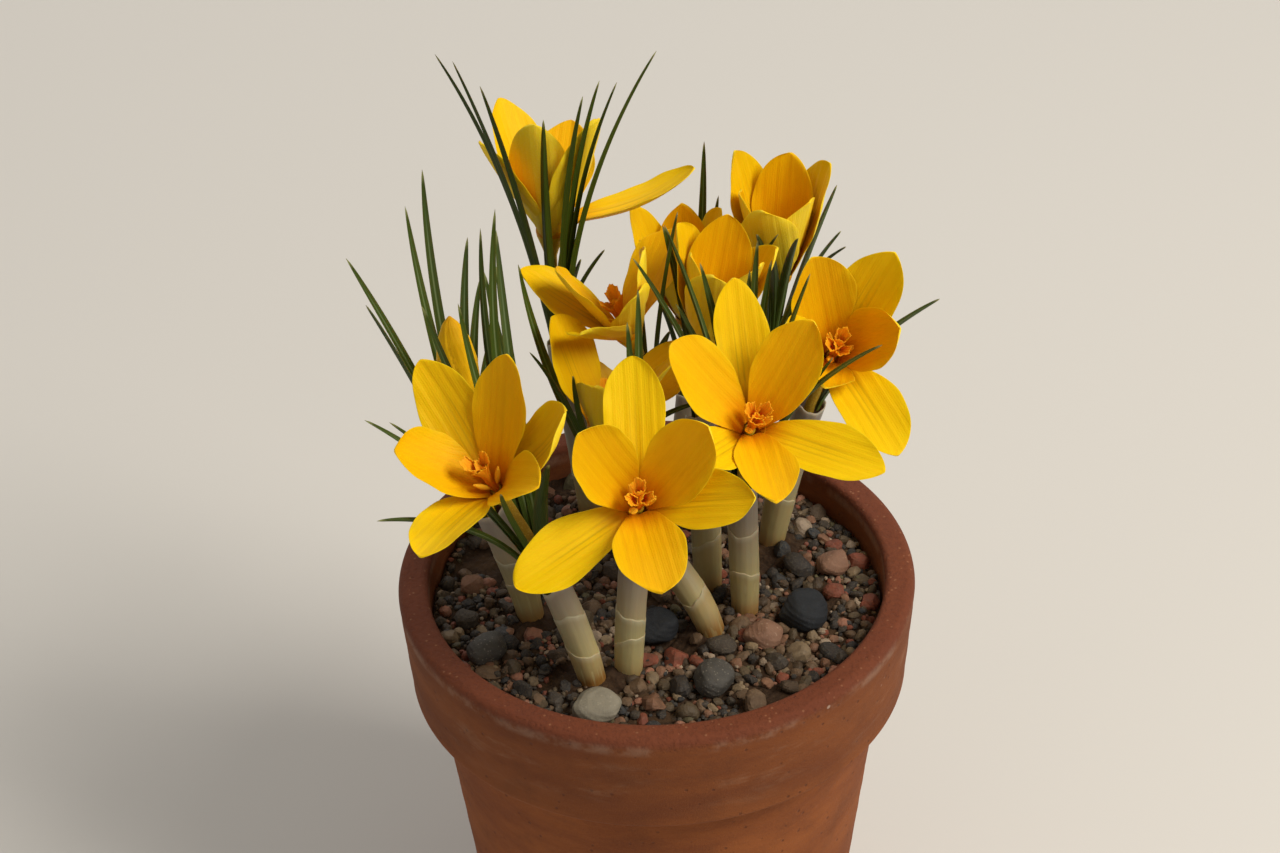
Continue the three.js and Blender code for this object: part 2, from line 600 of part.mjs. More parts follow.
// Three anthers round a style that flares into a three-lobed stigma, on a peg in the throat
function stamens(shoot) {
  const { toWorld } = bloomFrame(shoot);
  const pegBottom = THROAT_TOP - THROAT_HOLE_DEPTH + GAP;
  const style = bent(turned([
    [0, pegBottom], [PEG_RADIUS, pegBottom], [PEG_RADIUS, STYLE_TOP], [STIGMA_RADIUS, STIGMA_SHOULDER],
    [STIGMA_RADIUS, STYLE_HEIGHT], [0, STYLE_HEIGHT],
  ], 6), (point) => {
    const wave = Math.sin(3 * Math.atan2(point.y, point.x));
    const lobe = point.z > STYLE_TOP + 0.1 ? 1 - STIGMA_LOBE + STIGMA_LOBE * wave : 1;
    return toWorld(vec(point.x * lobe, point.y * lobe, point.z));
  });
  const anthers = [0, 120, 240].map((way) => {
    return bent(new THREE.CylinderGeometry(1, 0.7, ANTHER_LENGTH, 3, 1), (point) => {
      const middle = slanted(way, ANTHER_LEAN, point.y + ANTHER_LENGTH / 2);
      middle.add(around(way, ANTHER_BASE_RADIUS, ANTHER_BASE_Z));
      return toWorld(middle.add(vec(point.z, point.x, 0)));
    });
  });
  return joined([style, ...anthers]);
}

// Leaf: starts in the ring at the sheath's mouth and arches to its tip
function leaf(mouth, [way, lean, length, lift, width]) {
  const offTube = around(way).addScaledVector(mouth.along, -mouth.along.dot(around(way))).normalize();
  const root = mouth.place.clone().addScaledVector(offTube, LEAF_ROOT_RADIUS);
  const chord = slanted(way, lean);
  const rise = mouth.along.clone().add(chord).add(vec(0, 0, lift)).normalize();
  const path = new THREE.CubicBezierCurve3(
    root.clone().addScaledVector(mouth.along, -RING_HEIGHT + 0.3),
    root.clone().addScaledVector(mouth.along, Math.max(LEAF_STRAIGHT_SHARE * length, LEAF_STRAIGHT)),
    root.clone().addScaledVector(rise, LEAF_BEND_SHARE * length),
    root.clone().addScaledVector(chord, length),
  );
  const unit = new THREE.CylinderGeometry(1, 1, 1, 3, LEAF_ROWS);
  return bent(unit, (point) => {
    const share = point.y + 0.5;
    const place = path.getPoint(share);
    const along = path.getTangent(share);
    const side = around(way + 90);
    const outward = new THREE.Vector3().crossVectors(side, along).normalize();
    const atRoot = LEAF_ROOT_SHARE + (1 - LEAF_ROOT_SHARE) * Math.min(share * 4, 1);
    const halfWidth = width / Math.sqrt(3) * atRoot * (1 - LEAF_TIP_TAPER * share ** 4);
    const halfThickness = LEAF_THICKNESS / 1.5 * atRoot * (1 - LEAF_TIP_THINNING * share);
    return place.addScaledVector(side, point.x * halfWidth).addScaledVector(outward, point.z * halfThickness);
  });
}

function leaves(shoot) {
  const { path, height, mouthAt } = shootPath(shoot);
  const mouth = onPath(path, mouthAt - 0.2 / height);
  const ring = turned([[RING_INNER, 0], [RING_OUTER, 0], [RING_OUTER, RING_HEIGHT], [RING_INNER, RING_HEIGHT],
    [RING_INNER, 0]], SHOOT_SIDES);
  const seated = bent(ring, (point) => {
    return mouth.place.clone().addScaledVector(mouth.across, point.y).addScaledVector(mouth.behind, -point.x)
      .addScaledVector(mouth.along, point.z - RING_HEIGHT);
  });
  return joined([seated, ...shoot.leaves.map((one) => leaf(mouth, one))]);
}

function pottingMix() {
  const { topRadius, side } = roomInPot(POT_HEIGHT + 4);
  const room = solid(asIs(turned([[0, FLOOR_Z + GAP], ...side.reverse(), [0, POT_HEIGHT + 4]], POT_SIDES)));
  let mix = mixBody().add(gritStones()).intersect(room);
  for (const place of CORMS) mix = mix.subtract(corm(place, GAP));
  for (const shoot of SHOOTS) {
    const foot = footOf(shoot);
    const hole = bent(turned([[0, CORM_TOP_Z - 1], [SHOOT_HOLE_RADIUS, CORM_TOP_Z - 1],
      [SHOOT_HOLE_RADIUS, POT_HEIGHT], [0, POT_HEIGHT]], SHOOT_SIDES), (point) => {
      return vec(foot.x + point.y, foot.y - point.x, point.z);
    });
    mix = mix.subtract(solid(hole));
  }
  for (const one of PEBBLES) mix = mix.subtract(pebble(one, GAP));
  return mix;
}

const group = new THREE.Group();
group.add(node('pot', pot(), COLOURS.clay, 0.85));
group.add(node('potting_mix', pottingMix(), COLOURS.mix, 0.95));
CORMS.forEach((place, i) => group.add(node(`corm_${i + 1}`, corm(place), COLOURS.corm, 0.8)));
PEBBLES.forEach((one, i) => group.add(node(`pebble_${i + 1}`, pebble(one), one[6], 0.75)));
for (const shoot of SHOOTS) {
  group.add(node(`sheath_${shoot.name}`, sheath(shoot), COLOURS.sheath, 0.55));
  if (shoot.leaves.length) group.add(node(`leaves_${shoot.name}`, leaves(shoot), COLOURS.leaf, 0.5));
  if (shoot.bud) {
    group.add(node(`bud_${shoot.name}`, bud(shoot), COLOURS.tepal, 0.5));
  } else {
    group.add(node(`bloom_${shoot.name}`, bloom(shoot), COLOURS.tepal, 0.5));
    group.add(node(`stamens_${shoot.name}`, stamens(shoot), COLOURS.stamens, 0.6));
  }
}

export default group;
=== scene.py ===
# %% [markdown]
# # Potted celandine crocus
#
# This lesson dresses a plain model of a clay pot of yellow crocuses in gritty mix. The plain model
# comes in as a fixed frame, in metres. Each of its rough solids is replaced by a finer piece that
# keeps to the same place, size and outline, and every surface gets a finish made of shader nodes.

import bpy
import numpy as np
from mathutils import Matrix, Vector
from numpy import cos, exp, pi, sin


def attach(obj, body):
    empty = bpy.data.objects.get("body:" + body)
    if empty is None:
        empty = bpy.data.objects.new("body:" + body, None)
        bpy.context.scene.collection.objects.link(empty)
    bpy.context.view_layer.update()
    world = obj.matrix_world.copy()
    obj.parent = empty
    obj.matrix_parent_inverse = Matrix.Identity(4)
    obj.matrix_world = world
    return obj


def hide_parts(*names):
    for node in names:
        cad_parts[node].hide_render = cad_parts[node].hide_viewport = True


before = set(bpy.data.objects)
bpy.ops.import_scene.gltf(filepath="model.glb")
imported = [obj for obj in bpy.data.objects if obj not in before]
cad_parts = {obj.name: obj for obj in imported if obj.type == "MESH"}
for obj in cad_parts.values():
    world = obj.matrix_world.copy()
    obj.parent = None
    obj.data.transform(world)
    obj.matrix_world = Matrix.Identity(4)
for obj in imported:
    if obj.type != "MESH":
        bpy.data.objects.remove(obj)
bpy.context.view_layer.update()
print("solids in the frame:", len(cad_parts))

# %% [markdown]
# ## Camera
#
# The camera goes first, because every later choice is judged through it. It looks down at 37
# degrees from 0.75 m away with a long lens, so there is little perspective, and is rolled a
# little, so the pot leans to the left.

# %% Camera
def new_object(name, data):
    """An object for a mesh, a lamp or a camera, linked into the scene."""
    thing = bpy.data.objects.new(name, data)
    bpy.context.scene.collection.objects.link(thing)
    return thing


camera = new_object("camera", bpy.data.cameras.new("camera"))
bpy.context.scene.camera = camera
camera.data.sensor_width, camera.data.lens, camera.data.clip_start = 36, 104.6, 0.01
pan, tilt, roll = (Matrix.Rotation(np.radians(angle), 4, axis)
                   for angle, axis in ((0.227, "Z"), (53.23, "X"), (-1.8, "Z")))
camera.matrix_world = Matrix.Translation((0, -0.58286, 0.56799)) @ pan @ tilt @ roll
view = camera.matrix_world.to_3x3() @ Vector((0, 0, -1))
print("camera looks along", [round(x, 2) for x in view])

# %% [markdown]
# ## Light
#
# Petals are soft and a little shiny. One hard lamp would burn white spots on them, and an even sky
# would make them flat. A broad lamp high on the right models their hollows, a weak one on the left
# opens the shadows, and one behind lights the edges.

# %% Light
def area_light(name, place, target_height, size, watts, colour=(1, 1, 1)):
    """A square lamp at place, in metres, turned to a height over the middle of the pot."""
    lamp = bpy.data.lights.new(name, "AREA")
    lamp.size, lamp.energy, lamp.color = size, watts, colour
    holder = new_object(name, lamp)
    holder.location = place
    aim = Vector((0, 0, target_height)) - Vector(place)
    holder.rotation_euler = aim.to_track_quat("-Z", "Y").to_euler()


area_light("key_light", (0.75, -0.35, 1.0), 0.1, 0.55, 15, (1.0, 0.97, 0.91))
area_light("fill_light", (-0.9, -0.8, 0.7), 0.1, 1.0, 1.2, (0.95, 0.97, 1.0))
area_light("back_light", (-0.2, 0.9, 0.9), 0.15, 0.8, 4.5)

world = bpy.data.worlds.new("studio")
bpy.context.scene.world = world
world.use_nodes = True
sky = world.node_tree.nodes["Background"].inputs
sky["Color"].default_value, sky["Strength"].default_value = (1.0, 0.98, 0.94, 1), 0.28
bpy.context.scene.view_settings.view_transform = "Standard"
print("lamps:", len(bpy.data.lights))

# %% [markdown]
# ## Sums with sockets
#
# A finish is a recipe such as "amber near the throat, lemon at the tip, darker along the veins". A
# small class that wraps an output socket lets it be written as a sum, and each operator adds one
# Math node. Colours go through Mix nodes, because a Math node would turn them grey.

# %% Shader sums
def both_ways(operation):
    """Two methods that each add one Math node: for wire + x, and for x + wire."""
    return (lambda wire, x: wire.math(operation, wire, x),
            lambda wire, x: wire.math(operation, x, wire))


class Wire:
    """An output socket to reckon with: a + b, 1 - a and a ** 2 each add one Math node."""
    __add__, __radd__ = both_ways("ADD")
    __sub__, __rsub__ = both_ways("SUBTRACT")
    __mul__, __rmul__ = both_ways("MULTIPLY")
    __pow__ = both_ways("POWER")[0]

    def __init__(self, finish, socket):
        self.finish, self.socket = finish, socket

    def math(self, operation, *values):
        settings = {"operation": operation}
        return self.finish.node("ShaderNodeMath", settings, dict(enumerate(values)))

    def __abs__(self):
        return self.math("ABSOLUTE", self)

    def wave(self):
        """The sine of the value, moved to run from 0 to 1."""
        return self.math("SINE", self) * 0.5 + 0.5

    def rise(self, low, high):
        """0 where the value is under low, 1 where it is over high, and smooth between."""
        values = {"Value": self, "From Min": low, "From Max": high}
        smooth = {"interpolation_type": "SMOOTHSTEP"}
        return self.finish.node("ShaderNodeMapRange", smooth, values)

    def fall(self, low, high):
        """1 where the value is under low, 0 where it is over high, and smooth between."""
        return 1 - self.rise(low, high)


# %% [markdown]
# ## A finish
#
# Every surface has one Principled shader. What is the same all over, such as how much light
# scatters inside a petal, is set on the shader's own sockets. Only colour, roughness and bump vary
# and get wires. Patterns are measured in millimetres of the object's own space, or follow values
# that are stored on the mesh. Colours are web codes, or linear values where a yellow is too strong
# for a web code.

# %% Finish
MM = 0.001


def shade(code):
    """A colour from its web code, as the linear light values that a shader needs."""
    parts = np.array([int(code[i:i + 2], 16) / 255 for i in (0, 2, 4)])
    linear = np.where(parts > 0.04045, ((parts + 0.055) / 1.055) ** 2.4, parts / 12.92)
    return (*linear.tolist(), 1.0)


class Finish:
    """One material with a Principled shader, and methods that add nodes to it."""

    def __init__(self, name, **constants):
        self.material = bpy.data.materials.new(name)
        self.material.use_nodes = True
        self.tree = self.material.node_tree
        self.shader = self.tree.nodes["Principled BSDF"]
        for socket, value in constants.items():
            self.shader.inputs[socket.replace("_", " ")].default_value = value
        place = self.node("ShaderNodeTexCoord", out="Object")
        scale = {"operation": "SCALE"}
        self.place = self.node("ShaderNodeVectorMath", scale, {0: place, "Scale": 1 / MM})

    def node(self, kind, settings=None, inputs=None, out=0):
        """Any node: its settings first, then a value, a web code or a wire for each socket."""
        node = self.tree.nodes.new(kind)
        for key, value in (settings or {}).items():
            if key == "bands":
                self.set_bands(node.color_ramp, value)
            else:
                setattr(node, key, value)
        for key, value in (inputs or {}).items():
            if isinstance(value, Wire):
                self.tree.links.new(value.socket, node.inputs[key])
            else:
                value = shade(value) if isinstance(value, str) else value
                node.inputs[key].default_value = value
        return Wire(self, node.outputs[out])

    @staticmethod
    def set_bands(ramp, bands):
        """Bands of plain colour on a ramp: each is where it starts, and its web code."""
        ramp.interpolation = "CONSTANT"
        while len(ramp.elements) < len(bands):
            ramp.elements.new(1.0)
        for element, (start, code) in zip(ramp.elements, bands):
            element.position, element.color = start, shade(code)

    def stored(self, names):
        """Values that the mesh keeps for each of its points."""
        return [self.node("ShaderNodeAttribute", {"attribute_name": name}, out="Fac")
                for name in names.split()]

    def noise(self, size, detail, rough, where=None):
        """Cloudy noise from 0 to 1, its blots about size millimetres across."""
        values = {"Vector": where or self.place, "Scale": 1 / size}
        return self.node("ShaderNodeTexNoise", {}, {**values, "Detail": detail, "Roughness": rough})

    def cells(self, size, where=None):
        """Distance to the nearest of scattered points about size millimetres apart."""
        values = {"Vector": where or self.place, "Scale": 1 / size}
        return self.node("ShaderNodeTexVoronoi", {}, values)

    def follow(self, across, along, tint):
        """Coordinates that follow a surface, from stored values, moved apart by a tint."""
        return self.node("ShaderNodeCombineXYZ", {}, {"X": across, "Y": along, "Z": tint})

    def squeeze(self, factor):
        """The object's own coordinates, with heights multiplied by a factor."""
        return self.node("ShaderNodeMapping", {}, {"Vector": self.place, "Scale": (1, 1, factor)})

    def mix(self, share, first, second):
        """The first colour where share is 0, the second where it is 1."""
        values = {0: share, 6: first, 7: second}
        return self.node("ShaderNodeMix", {"data_type": "RGBA"}, values, out=2)

    def coats(self, colour, *coats):
        """Coats of paint, each a share and a colour, laid in turn on what is there."""
        for share, coat in coats:
            colour = self.mix(share, colour, coat)
        return colour

    def finish(self, colour, roughness, height=None, depth=0.0):
        """Wire the colour, the roughness, and a height in depth millimetres as bump."""
        wires = {"Base Color": colour, "Roughness": roughness}
        if height:
            values = {"Strength": 1.0, "Distance": depth * MM, "Height": height}
            wires["Normal"] = self.node("ShaderNodeBump", {}, values)
        for name, wire in wires.items():
            self.tree.links.new(wire.socket, self.shader.inputs[name])
        print("finish", self.material.name, "nodes:", len(self.tree.nodes))
        return self.material


# %% [markdown]
# ## From grids of points to a mesh
#
# Almost everything on a plant is a closed skin round a line: a stem, a leaf, even a petal, whose
# skin runs over its inner face, round the edge and back over its outer face. One helper takes a
# grid of points, rows along the line and columns round it, joins the last column to the first, and
# closes both ends with a fan. The volume that a skin encloses tells whether it faces outwards, and
# it is turned if needed.

# %% Grid to mesh
def dial(columns):
    """Angles once round, in radians, as a row."""
    return np.linspace(0, 2 * pi, columns, endpoint=False)[None, :]


def grid_faces(rows, columns, hoop=False):
    """Quads of a grid whose columns close on themselves, and fans that close its two ends.
    With hoop the rows close on themselves as well, and there are no fans."""
    row, column = np.arange(rows if hoop else rows - 1)[:, None], np.arange(columns)
    above, beside = (row + 1) % rows, (column + 1) % columns
    quads = np.stack([row * columns + column, row * columns + beside,
                      above * columns + beside, above * columns + column], -1).reshape(-1, 4)
    if hoop:
        return quads, np.zeros((0, 3), int)
    last, pole = (rows - 1) * columns, np.full(columns, rows * columns)
    low = np.stack([beside, column, pole], -1)
    high = np.stack([last + column, last + beside, pole + 1], -1)
    return quads, np.concatenate([low, high])


def enclosed(points, quads, fans):
    """Signed volume inside a closed skin: a sixth of the sum of a . (b x c) over its triangles."""
    triangles = np.concatenate([quads[:, :3], quads[:, [0, 2, 3]], fans])
    a, b, c = (points[triangles[:, i]] for i in range(3))
    return np.einsum("ij,ij->i", a, np.cross(b, c)).sum() / 6


# %% [markdown]
# ## From skins to a piece
#
# A piece is often several closed skins: a tuft's leaves, or a flower's six tepals and its tube. A
# small class collects them, with the values that their finish reads, and makes one object of them.
# It also hides the solid of the frame that the piece takes the place of.

# %% Skins to a piece
class Skin:
    """Collects closed skins, in millimetres, into one mesh object."""

    def __init__(self, name):
        self.name, self.parts, self.count = name, [], 0

    def add(self, grid, hoop=False, **values):
        """Add a closed skin. grid is rows by columns by 3; each value is stored on its points."""
        def with_ends(field):
            ends = [] if hoop else [field[i].mean(0)[None] for i in (0, -1)]
            return np.concatenate([field.reshape(-1, *field.shape[2:]), *ends])

        shape = grid.shape[:2]
        stored = {key: with_ends(np.broadcast_to(value, shape)) for key, value in values.items()}
        self.add_faces(with_ends(grid), *grid_faces(*shape, hoop), stored)

    def add_faces(self, points, quads, fans, stored):
        """Add points and their faces, turned so that they face outwards."""
        if enclosed(points - points.mean(0), quads, fans) < 0:
            quads, fans = quads[:, ::-1], fans[:, ::-1]
        self.parts.append((points, quads + self.count, fans + self.count, stored))
        self.count += len(points)

    def build(self, material, slot, node, smooth=True):
        """Make the object, give it its finish, and hide the solid of the frame that it takes the
        place of.
        """
        points, quads, fans, stored = zip(*self.parts)
        quads, fans = np.concatenate(quads), np.concatenate(fans)
        places = (np.concatenate(points) * MM).tolist()
        mesh = bpy.data.meshes.new(self.name)
        mesh.from_pydata(places, [], quads.tolist() + fans.tolist(), shade_flat=not smooth)
        for key in stored[0]:
            values = np.concatenate([skin[key] for skin in stored])
            attribute = mesh.attributes.new(key, "FLOAT", "POINT")
            attribute.data.foreach_set("value", values.astype(np.float32))
        mesh.validate()
        mesh.materials.append(material)
        piece = new_object(self.name, mesh)
        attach(piece, "root")
        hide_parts(node)
        print(self.name, "triangles:", 2 * len(quads) + len(fans))


# %% [markdown]
# ## Directions and paths
#
# A grower would say "this leaf goes off to the left and leans well over". The same two numbers
# place everything here: a way round the compass (0 is right, 90 is away from the viewer) and a
# lean from upright. A stem or a leaf follows a cubic Bezier curve, from a start, an end and the
# directions in which it leaves them.

# %% Directions and paths
UP = np.array([0, 0, 1.0])


def around(way, radius=1.0, z=0.0):
    """A point at a radius and a height, the way given in degrees."""
    way, radius, z = np.broadcast_arrays(np.radians(way), radius, z)
    return np.stack([radius * cos(way), radius * sin(way), z], -1).astype(float)


def slanted(way, lean, length=1.0):
    """A vector of some length that leans from upright towards a way."""
    return around(way, length * sin(np.radians(lean)), length * cos(np.radians(lean)))


def unit(v):
    """The vector made one long."""
    return v / np.linalg.norm(v, axis=-1, keepdims=True)


def bezier(ends, t):
    """Place and direction on the cubic curve of four points, at shares t of its way."""
    t = np.asarray(t, float)[..., None]
    s = 1 - t
    a, b, c, d = ends
    place = s ** 3 * a + 3 * s * s * t * b + 3 * s * t * t * c + t ** 3 * d
    return place, unit(s * s * (b - a) + 2 * s * t * (c - b) + t * t * (d - c))


def frame_on(along):
    """Two directions across a path: X made square to it, and one square to both."""
    across = unit(np.array([1.0, 0, 0]) - along * along[..., :1])
    return across, np.cross(along, across)


def sweep(place, along, radius):
    """Rings round a path: place + radius (cos a across + sin a behind). radius is rows by
    columns, and place and along have a row for each ring, or for each of its points."""
    angle, (across, behind) = dial(radius.shape[1])[..., None], frame_on(along)
    return place + radius[..., None] * (cos(angle) * across + sin(angle) * behind)


def ripple(x, y, waves):
    """A sum of waves: each is (height, turns along x, turns along y, shift)."""
    return sum(h * sin(2 * pi * (kx * x + ky * y) + shift) for h, kx, ky, shift in waves)


def part(x, low, high):
    """0 where x is under low, 1 where it is over high, and straight between."""
    return np.clip((x - low) / (high - low), 0, 1)


def shifts(random, count):
    """Random starts for that many waves, in radians."""
    return random.uniform(0, 6.28, count)


def on_line(corners, at):
    """Points of a broken line, where 1.5 is midway from its second to its third corner."""
    return np.stack([np.interp(at, np.arange(len(corners)), x) for x in np.transpose(corners)], -1)


def turned(profile, columns):
    """Rings round the Z axis, one for each row of [radius, height]."""
    return around(np.degrees(dial(columns)), profile[:, :1], profile[:, 1:])


print("a lean of 30 degrees:", slanted(0, 30).round(3).tolist())

# %% [markdown]
# ## One shoot
#
# A crocus has no stem above ground: what rises out of the sheath is the flower's own long tube. So
# sheath, tube and leaves follow one curve, which leaves the mix between upright and the direct way
# to the flower, and reaches the throat along the flower's own axis.

# %% One shoot
MIX_TOP_Z, CORM_TOP_Z = 89.0, 71.5
USUAL_CUP_AND_CURL, USUAL_LIFT_AND_WIDTH = [0.4, -8], [0, 2.2]
HANDLE = 0.35       # length of the curve's two handles, as a share of the shoot's height


class Shoot:
    """One shoot: its row of numbers, the curve that it follows and the axes of its bloom."""

    def __init__(self, number, foot, throat, way, lean, neck, tepals, leaves):
        self.number, self.foot = number, foot
        self.tepals = [row + USUAL_CUP_AND_CURL[len(row) - 4:] for row in tepals]
        self.leaves = [row + USUAL_LIFT_AND_WIDTH[len(row) - 3:] for row in leaves]
        start, self.throat = np.array([*foot, MIX_TOP_Z]), np.array(throat)
        axis = slanted(way, lean)
        self.axes = np.stack([*frame_on(axis), axis])
        self.height = np.linalg.norm(self.throat - start)
        rise, reach = unit(unit(self.throat - start) + UP), HANDLE * self.height
        self.ends = start, start + rise * reach, self.throat - axis * reach, self.throat
        self.mouth = 1 - neck / self.height

    def path(self, t):
        """Place and direction at shares t of the way from the mix to the throat."""
        return bezier(self.ends, t)

    def placed(self, points):
        """Points over the throat, as x across, y behind and z along the bloom's axis, in place."""
        return self.throat + points @ self.axes

    def skin(self, name, seed):
        """An empty skin for one of its pieces, and that piece's own random numbers."""
        return Skin(f"{name}_{self.number}"), np.random.default_rng(seed + self.number)


# %% [markdown]
# ## The plants
#
# One entry for each shoot: where it leaves the mix, where its flower's throat is, which way and
# how far the flower leans, and how far under the throat the sheath ends. Then come its tepals (a
# crocus's petals and sepals look alike) as [way, opening, length, width, cup, curl], the outer
# three first, and its leaves as [way, lean, length, lift, width]. What a row leaves out has the
# usual value. The shoot without tepals carries the bud. They are the solid model's own numbers, in
# millimetres and degrees, so each fine piece lands on its solid.

# %% The plants
SHOOTS = [
    Shoot(1, [-13, -25.5], [-30, -22, 135], 225, 28, 26,
          [[110, 45, 27, 12, 0.3], [245, 58, 25, 13, 0.3, 15], [5, 52, 26, 13, 0.5, -40],
           [55, 42, 27, 13, 0.3], [182, 30, 23, 14, 0.5, -20], [325, 50, 22, 12, 0.4, 20]],
          [[170, 42, 50, 0.2], [175, 36, 48, 0.2], [200, 51, 42, 0.4, 2.4], [275, 8, 34, 0, 3],
           [250, 29, 45, -0.4, 1.9], [110, 18, 76, -0.4], [115, 21, 72, -0.4], [130, 24, 59, -0.2],
           [135, 32, 60, -0.2], [104, 32, 69, 1], [103, 43, 63, 1.8], [105, 48, 63, 1.8],
           [130, 45, 19, 0.2]]),
    Shoot(2, [-6, -22.5], [-3, -25, 132], 272, 38, 18,
          [[90, 74, 27, 12, 0.25], [215, 90, 27, 12, 0.3, 0], [355, 55, 25, 12, 0.3, 5],
           [35, 40, 25, 14, 0.3], [145, 32, 25, 14, 0.35], [280, 55, 24, 14, 0.3, 5]],
          [[345, 45, 26, 0.8], [120, 30, 18, 0.4], [90, 16, 48], [84, 22, 53]]),
    Shoot(3, [17.7, -4], [19, -6, 135.5], 285, 35, 17,
          [[100, 64, 28, 10.8, 0.25], [330, 65, 28, 12, 0.3, 5], [222, 50, 22, 10, 0.3],
           [55, 36, 27, 13, 0.35], [152, 50, 26, 13, 0.3], [277, 56, 23, 12, 0.35, 5]],
          [[55, 32, 42, 1.2], [80, 15, 43, 1.2], [159, 13, 59], [157, 23, 52, -0.4], [123, 15, 46],
           [130, 28, 37, 0.5], [75, 16, 49], [65, 18, 45], [356, 13, 51, -0.4], [340, 34, 47],
           [339, 26, 38, -0.8, 2]]),
    Shoot(4, [24, 17.5], [36, 14, 138], 280, 40, 17,
          [[60, 32, 28, 13, 0.35], [292, 60, 28, 13, 0.3, 15], [185, 30, 22, 11, 0.35, 0],
           [115, 33, 26, 14], [5, 24, 22, 13, 0.4, -10], [250, 32, 20, 11, 0.4, -20]],
          [[0, 44, 34, 0, 2.4], [10, 49, 17, 0.4]]),
    Shoot(5, [10.5, 2.7], [11.5, 21.5, 138], 330, 12, 17,
          [[145, 20, 25, 12], [255, 16, 24, 12], [10, 18, 25, 12], [90, 15, 26, 13],
           [200, 14, 23, 12], [315, 14, 25, 12]],
          [[140, 9, 43, 0.6], [40, 25, 31, -0.4], [28, 24, 41, 0, 2]]),
    Shoot(6, [18, 30], [26.5, 41, 139], 270, 8, 16,
          [[135, 18, 29, 12], [15, 17, 28, 12], [255, 15, 26, 12], [75, 13, 27, 13],
           [195, 15, 25, 12], [320, 13, 25, 12]],
          [[255, 17, 36, 1.2, 2], [270, 19, 31, 0.8, 2], [285, 24, 41, 0.5], [10, 18, 39, -0.4],
           [355, 24, 31], [320, 29, 36, 0.4]]),
    Shoot(7, [-13, 29], [-19, 34, 155.5], 80, 12, 23,
          [[130, 33, 28, 12], [250, 17, 28, 12], [5, 70, 30, 11, 0.4, -42], [205, 34, 26, 12],
           [325, 21, 29, 14], [75, 44, 24, 13]],
          [[200, 16, 75, 0.6], [205, 14, 73], [215, 12, 67], [250, 2, 54, 0, 2], [325, 6, 60],
           [340, 8, 63], [345, 11, 63, 0.6], [340, 16, 74, -0.4], [355, 20, 23, 0, 2],
           [75, 19, 24, 0, 2], [3, 9, 19, -0.4, 2]]),
    Shoot(8, [-3, 18], [-4, 21, 140], 190, 20, 17,
          [[166, 36, 24, 12, 0.3], [350, 24, 21, 11, 0.35], [255, 45, 22, 11, 0.35, -10],
           [48, 70, 22, 13, 0.3], [310, 36, 19, 11, 0.35, -10], [200, 15, 23, 12, 0.35]],
          [[95, 20, 22, 0, 2], [60, 40, 14, 0.4, 2], [346, 7, 47, 0, 2]]),
    Shoot(9, [10.8, -11.2], [-10, 6, 128], 0, 15, 15,
          [[152, 39, 23, 15.5, 0.35], [245, 32, 21, 10], [345, 20, 22, 11], [35, 56, 25, 12, 0.3],
           [105, 95, 21, 12, 0.35], [295, 30, 22, 11]],
          [[140, 25, 51, -0.4, 2.4], [205, 21, 43, 1.2, 2.4], [225, 14, 35], [10, 45, 26, 0.6]]),
    Shoot(10, [6, 33.5], [8.5, 41, 129], 180, 5, 17,
          [[150, 18, 27, 10], [270, 15, 24, 10], [30, 18, 24, 10], [90, 15, 24, 11],
           [210, 16, 24, 10], [330, 15, 23, 10]],
          [[75, 15, 54, -0.4, 2], [60, 16, 43, -0.4, 2], [195, 15, 37, 0.6]]),
    Shoot(11, [-25.5, -4.5], [-36, 0, 130], 120, 10, 15,
          [],
          [[155, 26, 59], [205, 20, 60, 0, 2.4], [120, 25, 62, -0.2], [110, 25, 68, -0.2],
           [95, 28, 53], [90, 26, 45], [83, 28, 35]]),
]
for shoot in SHOOTS[:3]:
    print("shoot", shoot.number, "height", round(shoot.height, 1), "mm")

# %% [markdown]
# ## Tepals
#
# A flat card with a bent lattice would have a knife for an edge and a back like its front. Here
# the skin runs right round. Its columns go round an ellipse: the cosine says how far across the
# blade a point is, the sine says which face it is on and how thick the blade is there, so the
# edges are round and thin. Down its length the blade follows a mid-line that leaves the throat
# steeply and then opens by the tepal's own angle.
#
# What makes a petal look alive is small: a crease along the middle, shallow pleats beside it, a
# margin that waves more towards the tip, a tip that hooks in or out, and no two alike.

# %% Tepal shape
TEPAL_ROWS, TEPAL_COLUMNS, LINE_STEPS = 58, 48, 240
TEPAL_THICKNESS = 0.55
ROOT_ANGLE, FLARE = 22, 0.3     # lean at the root, and the share of the length that bends out
WIDEST, HOOK_START, TIP = 0.58, 0.78, 0.9985       # shares of the length
SPAN_UNIT = 6                   # the stored span is 1 this far from the middle


def tepal_half_width(width, s, point):
    """Half the width at share s of the length: a sine up to the widest place, then a rounded
    end, blunt where point is small and sharper where it is large."""
    low = 0.27 + 0.73 * sin(pi / 2 * part(s, 0, WIDEST)) ** 1.2
    high = (1 - part(s, WIDEST, 1) ** (2.5 - point)) ** (0.56 + 0.2 * point)
    return width / 2 * np.where(s < WIDEST, low, high)


def tepal_line(root, opening, length, curl, hook, s):
    """Radius, height and angle of a tepal's mid-line at shares s. The angle goes from the root's
    to the opening over the first part, then turns by curl; hook turns the last fifth."""
    steps = np.linspace(0, 1, LINE_STEPS + 1)
    middle = (steps[1:] + steps[:-1]) / 2
    flare = (1 - part(middle, 0, FLARE)) ** 2
    angle = opening + (ROOT_ANGLE - opening) * flare + curl * (middle - 0.5) * (1 - flare)
    angle = angle + hook * part(middle, HOOK_START, 1) ** 2
    out, up = (np.append(0, np.cumsum(share(np.radians(angle)))) * length / LINE_STEPS
               for share in (sin, cos))
    return np.interp(s, steps, root + out), np.interp(s, steps, up), np.interp(s, middle, angle)


